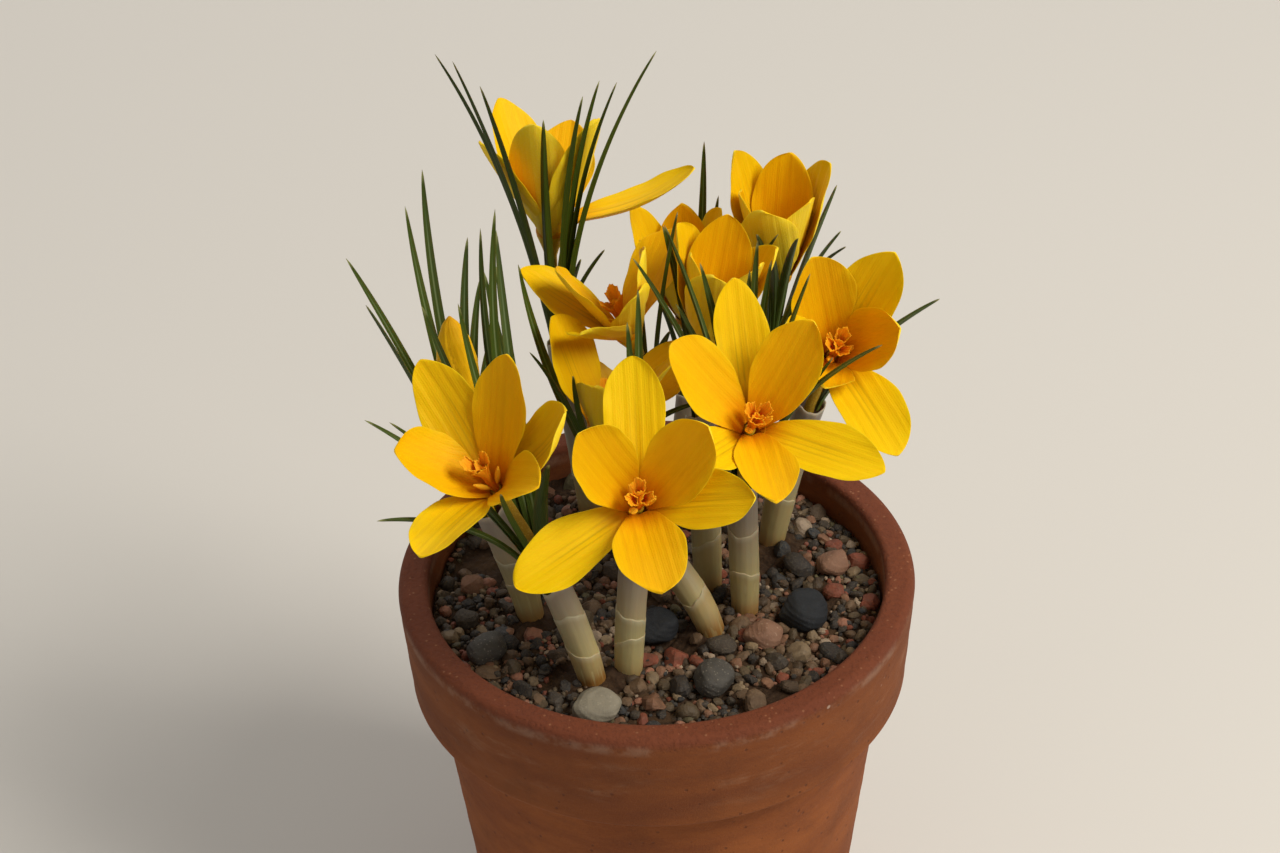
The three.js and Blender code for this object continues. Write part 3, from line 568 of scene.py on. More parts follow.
def tepal_grid(row, root, random):
    """The closed skin of a tepal in its bloom's frame, and the values that its finish reads."""
    way, opening, length, width, cup, curl = row
    s = sin(pi / 2 * np.linspace(0, 1, TEPAL_ROWS))[:, None] * TIP
    x, face = cos(dial(TEPAL_COLUMNS)), sin(dial(TEPAL_COLUMNS))
    point, hook = random.uniform(0.1, 0.6), random.uniform(-14, 14)
    radius, height, angle = tepal_line(root, opening, length, curl, hook, s[:, 0])
    side, inward = around(way - 90), slanted(way, angle - 90)[:, None]
    swing = np.radians(random.uniform(-5, 5)) * s[..., None]
    across = side * cos(swing) + inward * sin(swing)
    off = inward * cos(swing) - side * sin(swing)
    half = tepal_half_width(width, s, point)
    shift = shifts(random, 6)
    uneven = 1 + 0.05 * sin(5 * s + shift[0]) * np.sign(x) + 0.03 * sin(13 * s + shift[1] + x)
    span = x * half * uneven
    hollow = cup * half * x ** 2 * (1 - 0.3 * s)
    margin = s ** 1.5 * abs(x) ** 3 * sin(2 * pi * 1.6 * s + shift[2] + 1.9 * x) * 0.42
    margin = margin + s * x ** 4 * sin(2 * pi * 4.3 * s + shift[3] + 2.4 * x) * 0.13
    crease = -0.32 * exp(-(span / 0.55) ** 2) * (1 - s) ** 0.7 * part(s, 0, 1 / 6)
    pleats = 0.12 * cos(span * 2.9 + shift[4]) * sin(pi * s) * (1 - x ** 4)
    thick = TEPAL_THICKNESS / 2 * (1.15 - 0.5 * s) * abs(face) ** 0.8 * np.sign(face)
    lift = hollow + margin + crease + pleats + thick
    sway = random.uniform(-0.035, 0.035) * length * s ** 2
    middle = around(way, radius, height)[:, None]
    grid = middle + across * (span + sway)[..., None] + off * lift[..., None]
    inner = part(face, -0.25, 0.25)
    return grid, dict(along=s, span=span / SPAN_UNIT, inner=inner, tint=random.uniform(0, 1))


sample, _ = tepal_grid([0, 40, 27, 12, 0.3, -8], 2.5, np.random.default_rng(1))
print("a tepal reaches", np.ptp(sample.reshape(-1, 3), axis=0).round(1), "mm")

# %% [markdown]
# ## Petal finish
#
# Lemon yellow turns to amber over the third of each tepal next to the throat, and the inner three
# are warmer than the outer three. Veins run from the base to the tip and draw together at both
# ends. They are easy to draw, because the mesh stores how far across the blade each point is:
# stripes in that value converge by themselves. The backs are paler and brownish at the foot, and
# the tube is bronze where it leaves the sheath. A little light passes through, which subsurface
# scattering gives.

# %% Petal finish
LEMON, GOLD, ORANGE = (0.85, 0.56, 0.002, 1), (0.84, 0.45, 0.001, 1), (0.80, 0.35, 0.001, 1)
PALE, AMBER, OLIVE = (0.93, 0.66, 0.03, 1), (0.60, 0.18, 0.001, 1), (0.24, 0.15, 0.004, 1)
STRAW, RUST, BRONZE = (0.58, 0.38, 0.001, 1), (0.36, 0.15, 0.01, 1), (0.22, 0.12, 0.015, 1)
CREAM = (0.95, 0.76, 0.16, 1)
CREASE_SHADE_LINES = (-0.17, 0.015, 0.2)       # where painted shade darkens the crease and grooves down an outer tepal, in stored span


def petal_finish():
    f = Finish("petal", Subsurface_Weight=0.2, Subsurface_Radius=(1.0, 0.6, 0.05),
               Subsurface_Scale=0.0015, IOR=1.4, Specular_IOR_Level=0.14)
    along, span, inner, whorl, tint = f.stored("along span inner whorl tint")
    streak = f.noise(1, 2, 0.5, f.follow(span * 9, along * 1.5, tint * 40))
    cloud = f.noise(1, 3, 0.6, f.follow(span * 2, along * 3, tint * 30))
    veins = (span * 31 + 5 * streak + 2 * cloud).wave()
    fine = (span * 84 + 7 * streak).wave()
    dots = f.cells(0.42).fall(0.1, 0.5)
    shadow = (cloud.rise(0.35, 0.75) * 0.10 + streak.rise(0.5, 0.8) * 0.06) * (1.1 - along)
    # painted shade: olive lines darken the mid crease and the grooves beside it on the outer tepals
    crease_shade = sum(abs(span + 0.03 * streak - at).fall(0.008, 0.05) for at in CREASE_SHADE_LINES)
    crease_shade = crease_shade * along.rise(0.08, 0.3) * along.fall(0.5, 0.9) * (1 - whorl)
    face = f.coats(
        f.mix(tint * 0.4 + cloud * 0.5, LEMON, GOLD),
        (whorl * 0.8 + tint * 0.1, f.mix(cloud * 0.6 + tint * 0.3, GOLD, ORANGE)),
        (shadow, OLIVE),
        (tint.rise(0.45, 1.0) * 0.32, STRAW),
        (along.fall(0.02, 0.36) * (0.55 + 0.4 * streak), AMBER),
        (crease_shade * 0.5 * streak, OLIVE))
    back = f.coats(
        f.mix(cloud * 0.4 + whorl * 0.15, PALE, LEMON),
        (along.fall(0.0, 0.26) * (0.3 + 0.6 * streak) * 0.8, RUST),
        (along.fall(-0.9, 0.1) * (0.55 + 0.4 * streak), BRONZE))
    colour = f.coats(
        f.mix(inner, back, face),
        ((veins ** 3 * 0.20 + fine ** 3 * 0.12) * streak * (1.25 - along), AMBER),
        (abs(span).rise(0.72, 1.1) * 0.3, LEMON),
        (dots * (1 - inner) * 0.18, CREAM))
    height = veins * 0.4 + fine * 0.18 + dots * 0.25
    return f.finish(colour, 0.46 + 0.16 * cloud, height, 0.07)


PETAL = petal_finish()

# %% [markdown]
# ## Blooms
#
# A bloom is one piece: a slim tube that comes up out of the sheath, a funnel, and six tepals in
# two rings of three, which start inside the funnel, so no edge shows where they join. The funnel
# is a lathe whose wall goes up outside and down again inside, which leaves a real hollow for the
# stamens to stand in.

# %% Blooms
TUBE_RADIUS, TUBE_UNDER_MOUTH = 1.1, 4.6
ROOT_RADII = (2.5, 1.6)         # of the outer and the inner tepals
FUNNEL = [[1.02, -6], [1.15, -4.8], [1.6, -3.2], [2.25, -1.6], [2.8, -0.3], [3.02, 0.7],
          [2.95, 1.35], [2.75, 1.2], [2.5, 0.3], [1.9, -1.2], [1.3, -2.4], [0.5, -3.0]]


def tube_grid(shoot, top=1.0, columns=20, rows=26):
    """The flower's tube, swept from inside the sheath's mouth up to the throat."""
    t = np.linspace(shoot.mouth - TUBE_UNDER_MOUTH / shoot.height, top, rows)[:, None]
    radius = TUBE_RADIUS * (1 + 0.04 * sin(np.arange(rows))[:, None] * np.ones(columns))
    return sweep(*shoot.path(t), radius)


def bloom(shoot):
    """Six tepals, the funnel and the tube, as one piece."""
    skin, random = shoot.skin("yellow_bloom", 100)
    for i, row in enumerate(shoot.tepals):
        grid, values = tepal_grid(row, ROOT_RADII[i // 3], random)
        skin.add(shoot.placed(grid), whorl=float(i // 3), **values)
    plain = dict(span=0.0, whorl=1.0, tint=0.5)
    funnel = turned(on_line(FUNNEL, np.linspace(0, len(FUNNEL) - 1, 45)), 40)
    share = np.linspace(-0.4, 0.6, len(funnel))[:, None]
    skin.add(shoot.placed(funnel), along=np.minimum(share, 0.12), inner=share > 0, **plain)
    tube = tube_grid(shoot)
    skin.add(tube, along=np.linspace(-2.2, -0.35, len(tube))[:, None], inner=0.0, **plain)
    skin.build(PETAL, "tepal", f"bloom_{shoot.number}")


for shoot in SHOOTS:
    if shoot.tepals:
        bloom(shoot)

# %% [markdown]
# ## Bud
#
# The bud is three tepals rolled into a spindle, without a gap between them. It is turned like a
# spindle whose surface winds: the radius steps down a little at three seams that twist round.

# %% Bud
BUD_SHARES = [0, 0.12, 0.3, 0.5, 0.7, 0.85, 0.95, 1]
BUD_RADII = [1.1, 1.9, 3.2, 4.0, 4.0, 3.1, 1.7, 0.3]
BUD_FOOT, BUD_LENGTH, BUD_WIND = -5, 32.5, 2.1
SEAM = 0.93                     # where each third steps down to the next


def bud_grid(rows=90, columns=72):
    """A spindle: radius by height, times a saw-tooth in the angle that makes three overlapping
    edges, which wind by a third of a turn from the foot to the tip."""
    share, turn = np.linspace(0, 1, rows)[:, None], dial(columns)
    saw = (turn + BUD_WIND * share) * 3 / (2 * pi) % 1.0
    blade = np.clip(saw, 0, SEAM) - np.clip((saw - SEAM) * 13.3, 0, 1) * SEAM
    radius = np.interp(share, BUD_SHARES, BUD_RADII) * (0.94 + 0.13 * blade)
    radius = radius + 0.05 * sin(18 * turn) * sin(pi * share)
    grid = around(np.degrees(turn), radius, BUD_FOOT + BUD_LENGTH * share)
    return grid, dict(along=0.75 - 0.55 * share ** 2, span=(saw - 0.5) * 1.4)


bud_shoot = SHOOTS[-1]
skin = Skin("furled_bud")
grid, values = bud_grid()
skin.add(bud_shoot.placed(grid), inner=0.85, whorl=0.9, tint=0.5, **values)
tube = tube_grid(bud_shoot, 0.96)
skin.add(tube, along=0.1, span=0.0, inner=0.0, whorl=1.0, tint=0.5)
skin.build(PETAL, "tepal", f"bud_{bud_shoot.number}")

# %% [markdown]
# ## Stigma and anthers
#
# The orange tuft in the middle of each flower is the stigma: a short style that splits into three
# trumpets, so close together that they look like one frilled column. Each is drawn out into an ear
# on its outer side. Three yellow anthers stand lower, close round it. A trumpet's skin is swept up
# the outside, over the lip and back down the inside. Frill and ear are waves round the lip that
# grow only near the top.

# %% Stigma and anthers
TRUMPET_FOOT, TRUMPET_TOP, TRUMPET_LEAN = 3.6, 9.6, 17


def trumpet(way, top, random, rows=26, columns=42):
    """One arm of the stigma: a cone that leans out and opens to a flattened, frilled mouth, its
    outer side drawn up into an ear. It has an inner wall."""
    up = np.append(np.linspace(0, 1, rows), np.linspace(1, 0.45, rows // 2))[:, None]
    inside = np.repeat([0, 1], [rows, rows // 2])[:, None]
    turn, frill = dial(columns), part(up, 0.3, 1) ** 1.4
    a, b, c = shifts(random, 3)
    radius = 0.55 + 0.25 * up + 0.68 * frill
    radius = radius * (1 + frill * (0.12 * sin(5 * turn + a) + 0.08 * sin(11 * turn + b)))
    radius = radius - inside * 0.16
    lip = 1.15 * cos(turn) + 0.25 * sin(4 * turn + c) + 0.17 * sin(13 * turn + a)
    height = (top - TRUMPET_FOOT) * up + frill ** 2 * lip
    out = 0.35 + sin(np.radians(TRUMPET_LEAN) * up ** 1.3) * height * 0.8
    out = out + radius * cos(turn) * (1 - 0.42 * frill)
    aside = radius * sin(turn)
    flat = out[..., None] * around(way) + aside[..., None] * around(way + 90)
    return flat + (TRUMPET_FOOT + height)[..., None] * UP, frill


def stalk(start, end, low, high, columns=14, rows=12, belly=0.0, rough=0.0):
    """A round bar between two points, its radius from low to high, swollen by belly halfway."""
    share = np.linspace(0, 1, rows)[:, None]
    place = np.asarray(start) * (1 - share) + np.asarray(end) * share
    ends = sin(pi * np.clip(share, 0.02, 0.98)) ** 0.25
    radius = (low + (high - low) * share + belly * sin(pi * share)) * ends
    radius = radius * (1 + rough * sin(9 * np.arange(rows)))[:, None] * np.ones(columns)
    return sweep(place[:, None], unit(np.subtract(end, start)), radius)


def stamens(shoot):
    """The style, its three trumpets, and three anthers, each a filament with two lobes."""
    skin, random = shoot.skin("stigma_and_anthers", 300)

    def add(grid, pollen, lip=0.0):
        skin.add(shoot.placed(grid), pollen=pollen, lip=lip)

    add(stalk([0, 0, -1.3], [0, 0, 6.6], 0.8, 0.9, rows=16), 0.0)
    first = random.uniform(0, 120)
    for way in (0, 120, 240):
        grid, frill = trumpet(first + way, TRUMPET_TOP + random.uniform(-0.9, 0.6), random)
        add(grid, 0.0, frill)
        foot, neck, tip = around(way, 0.6, 0.6), slanted(way, 26, 2.6), slanted(way, 25, 7.6)
        add(stalk(foot, neck, 0.26, 0.2), 0.4)
        for aside in (-0.24, 0.24):
            shove = around(way + 90, aside)
            add(stalk(neck + shove, tip + shove, 0.42, 0.3, 16, 24, 0.16, 0.06), 1.0)
    skin.build(STAMEN, "stamens", f"stamens_{shoot.number}")


# %% [markdown]
# ## Stigma and pollen finish
#
# The stigma is deep orange and lighter at its frilled lips. The anthers are dusted with yellow
# pollen, which is a fine grain. Two values on the mesh, how near the lip and how much pollen,
# choose between the colours, so one finish serves the whole tuft.

# %% Stigma and pollen finish
def stamen_finish():
    f = Finish("stigma and pollen", Subsurface_Weight=0.2, Subsurface_Scale=0.0008,
               Specular_IOR_Level=0.15)
    lip, pollen = f.stored("lip pollen")
    grain = f.noise(0.25, 4, 0.7)
    stigma = f.mix(lip, (0.82, 0.29, 0.004, 1), (0.93, 0.41, 0.010, 1))
    anther = f.mix(grain, (0.86, 0.42, 0.006, 1), (0.92, 0.55, 0.03, 1))
    colour = f.coats(stigma, (pollen.rise(0.3, 0.6), anther), (grain * 0.15, (0.8, 0.26, 0.004, 1)))
    return f.finish(colour, 0.5 + 0.3 * grain, grain, 0.1)


STAMEN = stamen_finish()
for shoot in SHOOTS:
    if shoot.tepals:
        stamens(shoot)

# %% [markdown]
# ## Leaves
#
# A crocus leaf is narrow, with a white stripe down a shallow channel on its upper face and a keel
# under it. That cross-section is carried along a curve which leaves the sheath along the stem and
# arches over to the leaf's own lean.

# %% Leaf shape
LEAF_ROWS, LEAF_COLUMNS = 64, 20
LEAF_ROOT_RADIUS, LEAF_STRAIGHT, LEAF_FULLNESS = 1.75, 5, 1.06
LEAF_START, MOUTH_INSET = 2.3, 0.2      # how far into the sheath a leaf begins, and its ring is


def leaf_path(shoot, row):
    """The four points of a leaf's curve, from inside the sheath's mouth to its tip."""
    way, lean, length, lift, _ = row
    place, along = shoot.path(shoot.mouth - MOUTH_INSET / shoot.height)
    away = unit(around(way) - along * (along @ around(way)))
    root, chord = place + away * LEAF_ROOT_RADIUS, slanted(way, lean)
    rise = unit(along + chord + lift * UP)
    steps = (along * -LEAF_START, along * max(0.12 * length, LEAF_STRAIGHT),
             rise * 0.55 * length, chord * length)
    return [root + step for step in steps]


def leaf_grid(shoot, row, random):
    """The closed skin of a leaf: a channel above, a keel below, thin edges between."""
    s = np.linspace(0, 1, LEAF_ROWS)[:, None] ** 0.9
    place, along = bezier(leaf_path(shoot, row), s)
    outward = unit(np.cross(around(row[0] + 90), along))
    side = unit(np.cross(along, outward))
    x, face = cos(dial(LEAF_COLUMNS)), sin(dial(LEAF_COLUMNS))
    taper = (0.6 + 0.4 * part(s, 0, 0.25)) * (1 - 0.66 * s ** 4) * (1 - s ** 20) ** 0.5 + 0.02
    shift = shifts(random, 3)
    swing = np.radians(random.uniform(-14, 14)) * s + 0.05 * sin(9 * s + shift[0])
    upper = -0.32 + 0.2 * exp(-(x / 0.38) ** 2) - 0.1 * abs(x) ** 3
    upper = upper + 0.1 * (1 - x ** 2) * (abs(x) - 0.2)
    lower = -0.24 + 0.72 * exp(-(x / 0.42) ** 2) - 0.18 * abs(x) ** 3
    thick = np.where(face > 0, lower, upper) * taper ** 0.7
    wide = x * row[4] / 2 * taper * LEAF_FULLNESS
    off = thick + 0.14 * s ** 2 * sin(4 * s + shift[1])
    wide, off = wide * cos(swing) - off * sin(swing), wide * sin(swing) + off * cos(swing)
    grid = place + side * wide[..., None] + outward * off[..., None]
    return grid, dict(along=s, span=x, upper=face <= 0, tint=random.uniform(0, 1))


# %% [markdown]
# ## Leaf finish
#
# The green is dark, lighter over the stripe and at the tip, and yellowish where the leaf comes out
# of its sheath. Close lines run along it. The stripe needs no picture: it is where the stored span
# is small and the face is the upper one.

# %% Leaf finish
def leaf_finish():
    f = Finish("leaf", Subsurface_Weight=0.08, Subsurface_Scale=0.0008, Specular_IOR_Level=0.22)
    along, span, upper, tint = f.stored("along span upper tint")
    lines = (span * 24).wave()
    cloud = f.noise(1, 3, 0.6, f.follow(span * 3, along * 12, tint * 50))
    stripe = abs(span).fall(0.1, 0.24) * upper * along.rise(0.05, 0.2) * along.fall(0.8, 0.97)
    green = f.coats(
        f.mix(tint, "2c3b0a", "3e4f0e"),
        (cloud * 0.45, "4c5f15"),
        (lines * 0.25, "222e08"),
        (stripe * 0.24, "a3b07f"),
        (along.fall(0.0, 0.12) * 0.7, "8f9a45"),
        (along.rise(0.965, 1.0) * 0.6, "b9b978"))
    return f.finish(green, 0.42 + 0.18 * cloud, lines * 0.6 + cloud * 0.4, 0.06)


LEAF = leaf_finish()
for shoot in SHOOTS:
    skin, random = shoot.skin("leaf_tuft", 500)
    for row in shoot.leaves:
        grid, values = leaf_grid(shoot, row, random)
        skin.add(grid, **values)
    skin.build(LEAF, "leaf", f"leaves_{shoot.number}")

# %% [markdown]
# ## Sheaths
#
# Each shoot stands in three papery sheaths, one inside another. The innermost goes all the way up;
# the others end lower, drier and browner, and the edge of each carries a pale ring of painted
# highlight. A layer is a thin wall swept along the shoot: up its outside, over a slanting edge and
# down its inside, so the rows close like a hoop.

# %% Sheaths
SHEATH_RADII = (2.97, 3.04, 3.11)
SHEATH_FOOT = CORM_TOP_Z + 0.4 - MIX_TOP_Z      # where it starts, just over its corm
SHEATH_WALL, SLANT = 0.2, 0.5       # the edge of each layer slants by one SLANT more


def sheath_layer(shoot, radius, high, slant, random, rows=70, columns=56):
    """One layer: a thin wall round the shoot up to high (millimetres along it over the mix), its
    upper edge slanted by slant millimetres round the stem, wrinkled lengthwise."""
    turn, (a, b, c, d) = dial(columns), shifts(random, 4)
    edge = high + slant * cos(turn + a) + 0.22 * sin(3 * turn + b) + 0.12 * sin(7 * turn)
    share = np.append(np.linspace(0, 1, rows) ** 0.8, np.linspace(1, 0, rows // 2))[:, None]
    inside = np.repeat([0, 1], [rows, rows // 2])[:, None]
    level = SHEATH_FOOT + (edge - SHEATH_FOOT) * share
    folds = 0.025 * sin(9 * turn + c + 0.12 * level) + 0.018 * sin(17 * turn + d - 0.2 * level)
    folds = folds + 0.03 * sin(0.5 * level + b) + 0.012 * sin(1.9 * level + 2 * turn)
    lip = exp(-((1 - share) / 0.03) ** 2) * 0.03
    slim = 1 - 0.13 * (1 - part(level, 0, 13)) ** 1.5
    wall = SHEATH_WALL + 0.08 * (1 - share)
    reach = (radius + folds) * slim + lip * (1 - inside) - wall * inside
    place, along = shoot.path(np.maximum(level / shoot.height, 0))
    under = np.minimum(level, 0)[..., None] * UP
    return sweep(place + under, along, reach), dict(level=level, edge=edge - level, turn=cos(turn))


def sheath_finish():
    f = Finish("papery sheath", Subsurface_Weight=0.15, Subsurface_Scale=0.001,
               Specular_IOR_Level=0.4)
    level, edge, layer, turn, dry = f.stored("level edge layer turn dry")
    fibre = f.noise(1, 4, 0.6, f.follow(turn * 12, level * 0.12, layer * 20))
    cloud = f.noise(3.5, 3, 0.6)
    brown = layer.rise(0.9, 2.0) * dry * 0.8 + level.fall(0, 5) * (0.35 + 1.2 * dry)
    colour = f.coats(
        f.mix(level.rise(4, 26), "b49f66", "7d7166"),
        (cloud * 0.4, "958873"),
        (brown, f.mix(fibre, "6b4216", "97692f")),
        (fibre.rise(0.5, 0.8) * 0.14, "7d6c56"),
        # painted highlight: a pale band just under each layer's edge
        (edge.fall(0.2, 1.5) * 0.36, "c2b79a"))
    return f.finish(colour, 0.42 + 0.2 * fibre, fibre * 0.5 + cloud * 0.4, 0.07)


SHEATH = sheath_finish()
for shoot in SHOOTS:
    skin, random = shoot.skin("papery_sheath", 700)
    top = shoot.mouth * shoot.height
    dryness = random.uniform(0.0, 0.5)
    heights = (top - 0.5, top * random.uniform(0.5, 0.68), top * random.uniform(0.14, 0.3) + 2)
    for layer, (radius, high) in enumerate(zip(SHEATH_RADII, heights)):
        grid, values = sheath_layer(shoot, radius, high, SLANT * (layer + 1), random)
        skin.add(grid, hoop=True, layer=float(layer), dry=dryness, **values)
    skin.build(SHEATH, "sheath", f"sheath_{shoot.number}")

# %% [markdown]
# ## Potting mix
#
# The mix is one lathe: flat underneath, sloped sides a hair inside the pot's wall, and a top 7 mm
# under the rim that heaps and dips in waves of many lengths. It rises a little round each shoot,
# where water leaves it.

# %% Potting mix
TOP_RADIUS, DIP = 45.2, 0.5
MOUND, MOUND_RADIUS, MOUND_WIDTH = 0.9, 3.4, 2.2    # the low ring round each shoot
MIX_SIDE = [[0.5, 7.4], [16, 7.4], [32, 7.4], [36.5, 38], [41.1, 70.4], [43.4, 78], [44.8, 84]]
SOIL_WAVES = [(0.45, 0.031, 0.017, 0.3), (0.4, -0.022, 0.043, 2.0), (0.3, 0.09, 0.05, 1.0),
              (0.25, -0.11, 0.13, 4.0), (0.2, 0.21, -0.16, 2.6), (0.14, 0.33, 0.3, 0.9),
              (0.1, -0.5, 0.37, 5.0), (0.07, 0.8, 0.6, 3.0)]


def soil_height(x, y):
    """Height of the mix at a place: waves of falling length, and a low mound round each shoot."""
    away = [np.hypot(x - shoot.foot[0], y - shoot.foot[1]) for shoot in SHOOTS]
    mounds = sum(MOUND * exp(-((far - MOUND_RADIUS) / MOUND_WIDTH) ** 2) for far in away)
    return MIX_TOP_Z - DIP + ripple(x, y, SOIL_WAVES) + mounds


def mix_grid():
    """Rows from the middle of the underside out, up the side and in over the top."""
    grid = turned(np.array(MIX_SIDE + [[r, 0] for r in np.linspace(TOP_RADIUS, 0.4, 120)]), 300)
    top = grid[len(MIX_SIDE):]
    top[..., 2] = soil_height(top[..., 0], top[..., 1])
    return grid


def soil_finish():
    f = Finish("potting mix", Specular_IOR_Level=0.2)
    crumb, clod, dust = f.noise(0.7, 6, 0.75), f.noise(5, 4, 0.6), f.cells(1.1)
    colour = f.coats(
        f.mix(crumb, "1f150c", "463120"),
        (clod.rise(0.4, 0.7) * 0.5, "58412a"),
        (dust.fall(0.1, 0.35) * 0.3, "5c4c38"))
    return f.finish(colour, 0.85 + 0.1 * crumb, crumb * 0.7 + dust * 0.5, 0.7)


skin = Skin("potting_mix_fill")
skin.add(mix_grid())
skin.build(soil_finish(), "potting_mix", "potting_mix")

# %% [markdown]
# ## Cut stones
#
# Sharp grit isn't round: every stone is a lump that has been split. A stone here starts as a ball,
# and random planes cut it: in each direction the skin is as far out as the nearest plane allows,
# or the ball where no plane cuts.

# %% Cut stones
def ball(rows, columns):
    """Unit directions of a ball's grid and of its two poles, with its faces."""
    lean = np.linspace(0, 180, rows + 2)[1:-1, None]
    points = slanted(np.degrees(dial(columns)), lean).reshape(-1, 3)
    return np.concatenate([points, [UP, -UP]]), *grid_faces(rows, columns)


def plane_reach(normals, depths, directions):
    """How far each direction goes to each plane, depth / (normal . direction), or far away."""
    facing = normals @ directions.T
    return np.where(facing > 0.05, depths / np.maximum(facing, 0.05), 9.0)


def rotations(axis, angle):
    """Matrices that turn about X, Y or Z (axis 0, 1 or 2), one for each angle in radians."""
    i, j = (axis + 1) % 3, (axis + 2) % 3
    matrices = np.tile(np.eye(3), (len(angle), 1, 1))
    matrices[:, i, i] = matrices[:, j, j] = cos(angle)
    matrices[:, j, i], matrices[:, i, j] = sin(angle), -sin(angle)
    return matrices


# %% [markdown]
# ## Grit
#
# All stones of one size are cut at once, as one array. They are scattered largest first, and a
# stone keeps its place only if it doesn't lie on one that is there already.

# %% Grit
PEBBLES = [     # rock, place, length, breadth, height and turn of each loose stone
    ["stone_pale", -12.5, -34.5, 10, 8.5, 6, 10], ["stone_slate", 0, -11.5, 10, 8.5, 7, 40],
    ["stone_slate", 29.5, -7.5, 11, 10, 7, 70], ["stone_pink", 21, -14.5, 8, 7, 6, 20],
    ["stone_grey", 11, -27, 10.5, 8.5, 6, 50], ["stone_pink", 36, 8, 8, 6.5, 5, 30],
    ["stone_grey", -34, -16, 9, 7.5, 5.5, 60],
]
BARE = [(0.5, 0.035, 0.02, 1.2), (0.5, -0.02, 0.045, 0.4), (0.35, 0.06, -0.05, 2.0)]
BARE_OVER, SMALL_STONE, TRIES = 0.45, 1.7, 12   # a height of BARE, a radius, and a number
SHOOT_ROOM, PEBBLE_ROOM = 3.5, 0.42     # a radius, and a share of a loose stone's length
STONE_TIP = 0.3                         # how far stones lean, in radians


def scatter(sizes, random, spread):
    """Places for stones of these sizes, largest first, clear of shoots, pebbles and each other.
    Small ones leave patches of mix bare, where slow waves over the mix are high."""
    taken = [[*shoot.foot, SHOOT_ROOM] for shoot in SHOOTS]
    taken = np.array(taken + [[p[1], p[2], p[3] * PEBBLE_ROOM] for p in PEBBLES])
    kept = []
    for radius in np.sort(sizes)[::-1]:
        for way, share in random.uniform(0, 1, (TRIES, 2)):
            spot = around(360 * way, (TOP_RADIUS - 0.7 * radius) * np.sqrt(share))[:2]
            bare = radius < SMALL_STONE and ripple(*spot, BARE) > BARE_OVER
            gaps = np.hypot(*(taken[:, :2] - spot).T) - spread * (taken[:, 2] + radius)
            if not bare and (gaps > 0).all():
                kept.append([*spot, radius])
                taken = np.vstack([taken, kept[-1]])
                break
    return np.array(kept)


def grit(name, sizes, seed, rows, columns, sink, spread, planes=8):
    """One mesh of many stones, each sunk by a share of its size into the mix."""
    random = np.random.default_rng(seed)
    x, y, radius = scatter(sizes, random, spread).T
    count, (directions, quads, fans) = len(x), ball(rows, columns)
    normals = unit(random.normal(size=(count, planes, 3)))
    reach = plane_reach(normals, random.uniform(0.62, 0.95, (count, planes, 1)), directions)
    reach = np.minimum(reach.min(1), 1.0) * radius[:, None]
    squash = random.uniform([0.75, 0.75, 0.5], [1.2, 1.0, 0.8], (count, 3))
    spin = rotations(2, random.uniform(0, 2 * pi, count))
    for axis in (0, 1):
        spin = spin @ rotations(axis, random.normal(0, STONE_TIP, count))
    points = directions * reach[..., None] * squash[:, None] @ spin.transpose(0, 2, 1)
    points = points + np.stack([x, y, soil_height(x, y) + sink * radius], -1)[:, None]
    shift = np.arange(count)[:, None, None] * len(directions)
    kind, shine = (np.repeat(random.uniform(0, 1, count), len(directions)) for _ in range(2))
    skin = Skin(name)
    skin.add_faces(points.reshape(-1, 3), (quads + shift).reshape(-1, 4),
                   (fans + shift).reshape(-1, 3), dict(kind=kind, shine=shine))
    skin.build(GRIT, "potting_mix", "potting_mix", smooth=False)


# %% [markdown]
# ## Grit finish
#
# The grit is a mixture of rocks. Each stone stores a random number, and a ramp with hard steps
# makes one of twelve rocks of it. A second number makes some stones darker and smoother, as if
# they were damp.

# %% Grit finish
ROCK_BANDS = [
    (0.0, "262423"), (0.15, "3d352c"), (0.28, "55452f"), (0.40, "6b523a"), (0.52, "80583f"),
    (0.60, "453423"), (0.68, "8b7558"), (0.76, "83402a"), (0.83, "a8927a"), (0.89, "2b2e31"),
    (0.93, "a06a52"), (0.97, "5e5638"),
]


def grit_finish():
    f = Finish("mixed grit", Specular_IOR_Level=0.35)
    kind, shine = f.stored("kind shine")
    speck, cloud = f.noise(0.35, 4, 0.75), f.noise(1.6, 3, 0.6)
    colour = f.coats(
        f.node("ShaderNodeValToRGB", {"bands": ROCK_BANDS}, {"Fac": kind}),
        (speck.rise(0.45, 0.7) * 0.25, "97876c"),
        (cloud.rise(0.4, 0.65) * 0.35, "372817"),
        (0.1 + shine * 0.22, "2b2015"))
    return f.finish(colour, 0.75 - 0.25 * shine + 0.1 * speck, speck * 0.6 + cloud * 0.4, 0.25)


GRIT = grit_finish()
random = np.random.default_rng(41)
grit("coarse_grit", 1.6 + 1.7 * random.uniform(0, 1, 150) ** 1.6, 42, 9, 12, 0.12, 0.8, 10)
grit("middling_grit", random.uniform(0.9, 1.7, 900), 43, 6, 9, 0.2, 0.72)
grit("fine_grit", random.uniform(0.45, 0.9, 2600), 44, 4, 6, 0.3, 0.6)

# %% [markdown]
# ## Loose stones
#
# Seven larger stones lie on the grit, each its own piece so that it can be lifted off. They are
# cut like the grit, but from a finer ball, with softened edges: pale limestone, blue-black slate,
# pink granite and speckled grey.

# %% Loose stones
STONE_PLANES, SOFTNESS = 14, 14     # cuts on each stone, and how sharp their edges stay
STONE_SIZE = 1.04           # the ball against the solid's, before it is cut
STONE_RAISED = 0.25         # how far its middle is over the mix, as a share of its height
STONE_WAVES = [(0.016, 1.1, 0.7, 1.0), (0.010, -1.6, 1.2, 2.0), (0.003, 3.1, -2.3, 0.5),
               (0.0012, 5.2, 4.4, 4.0)]


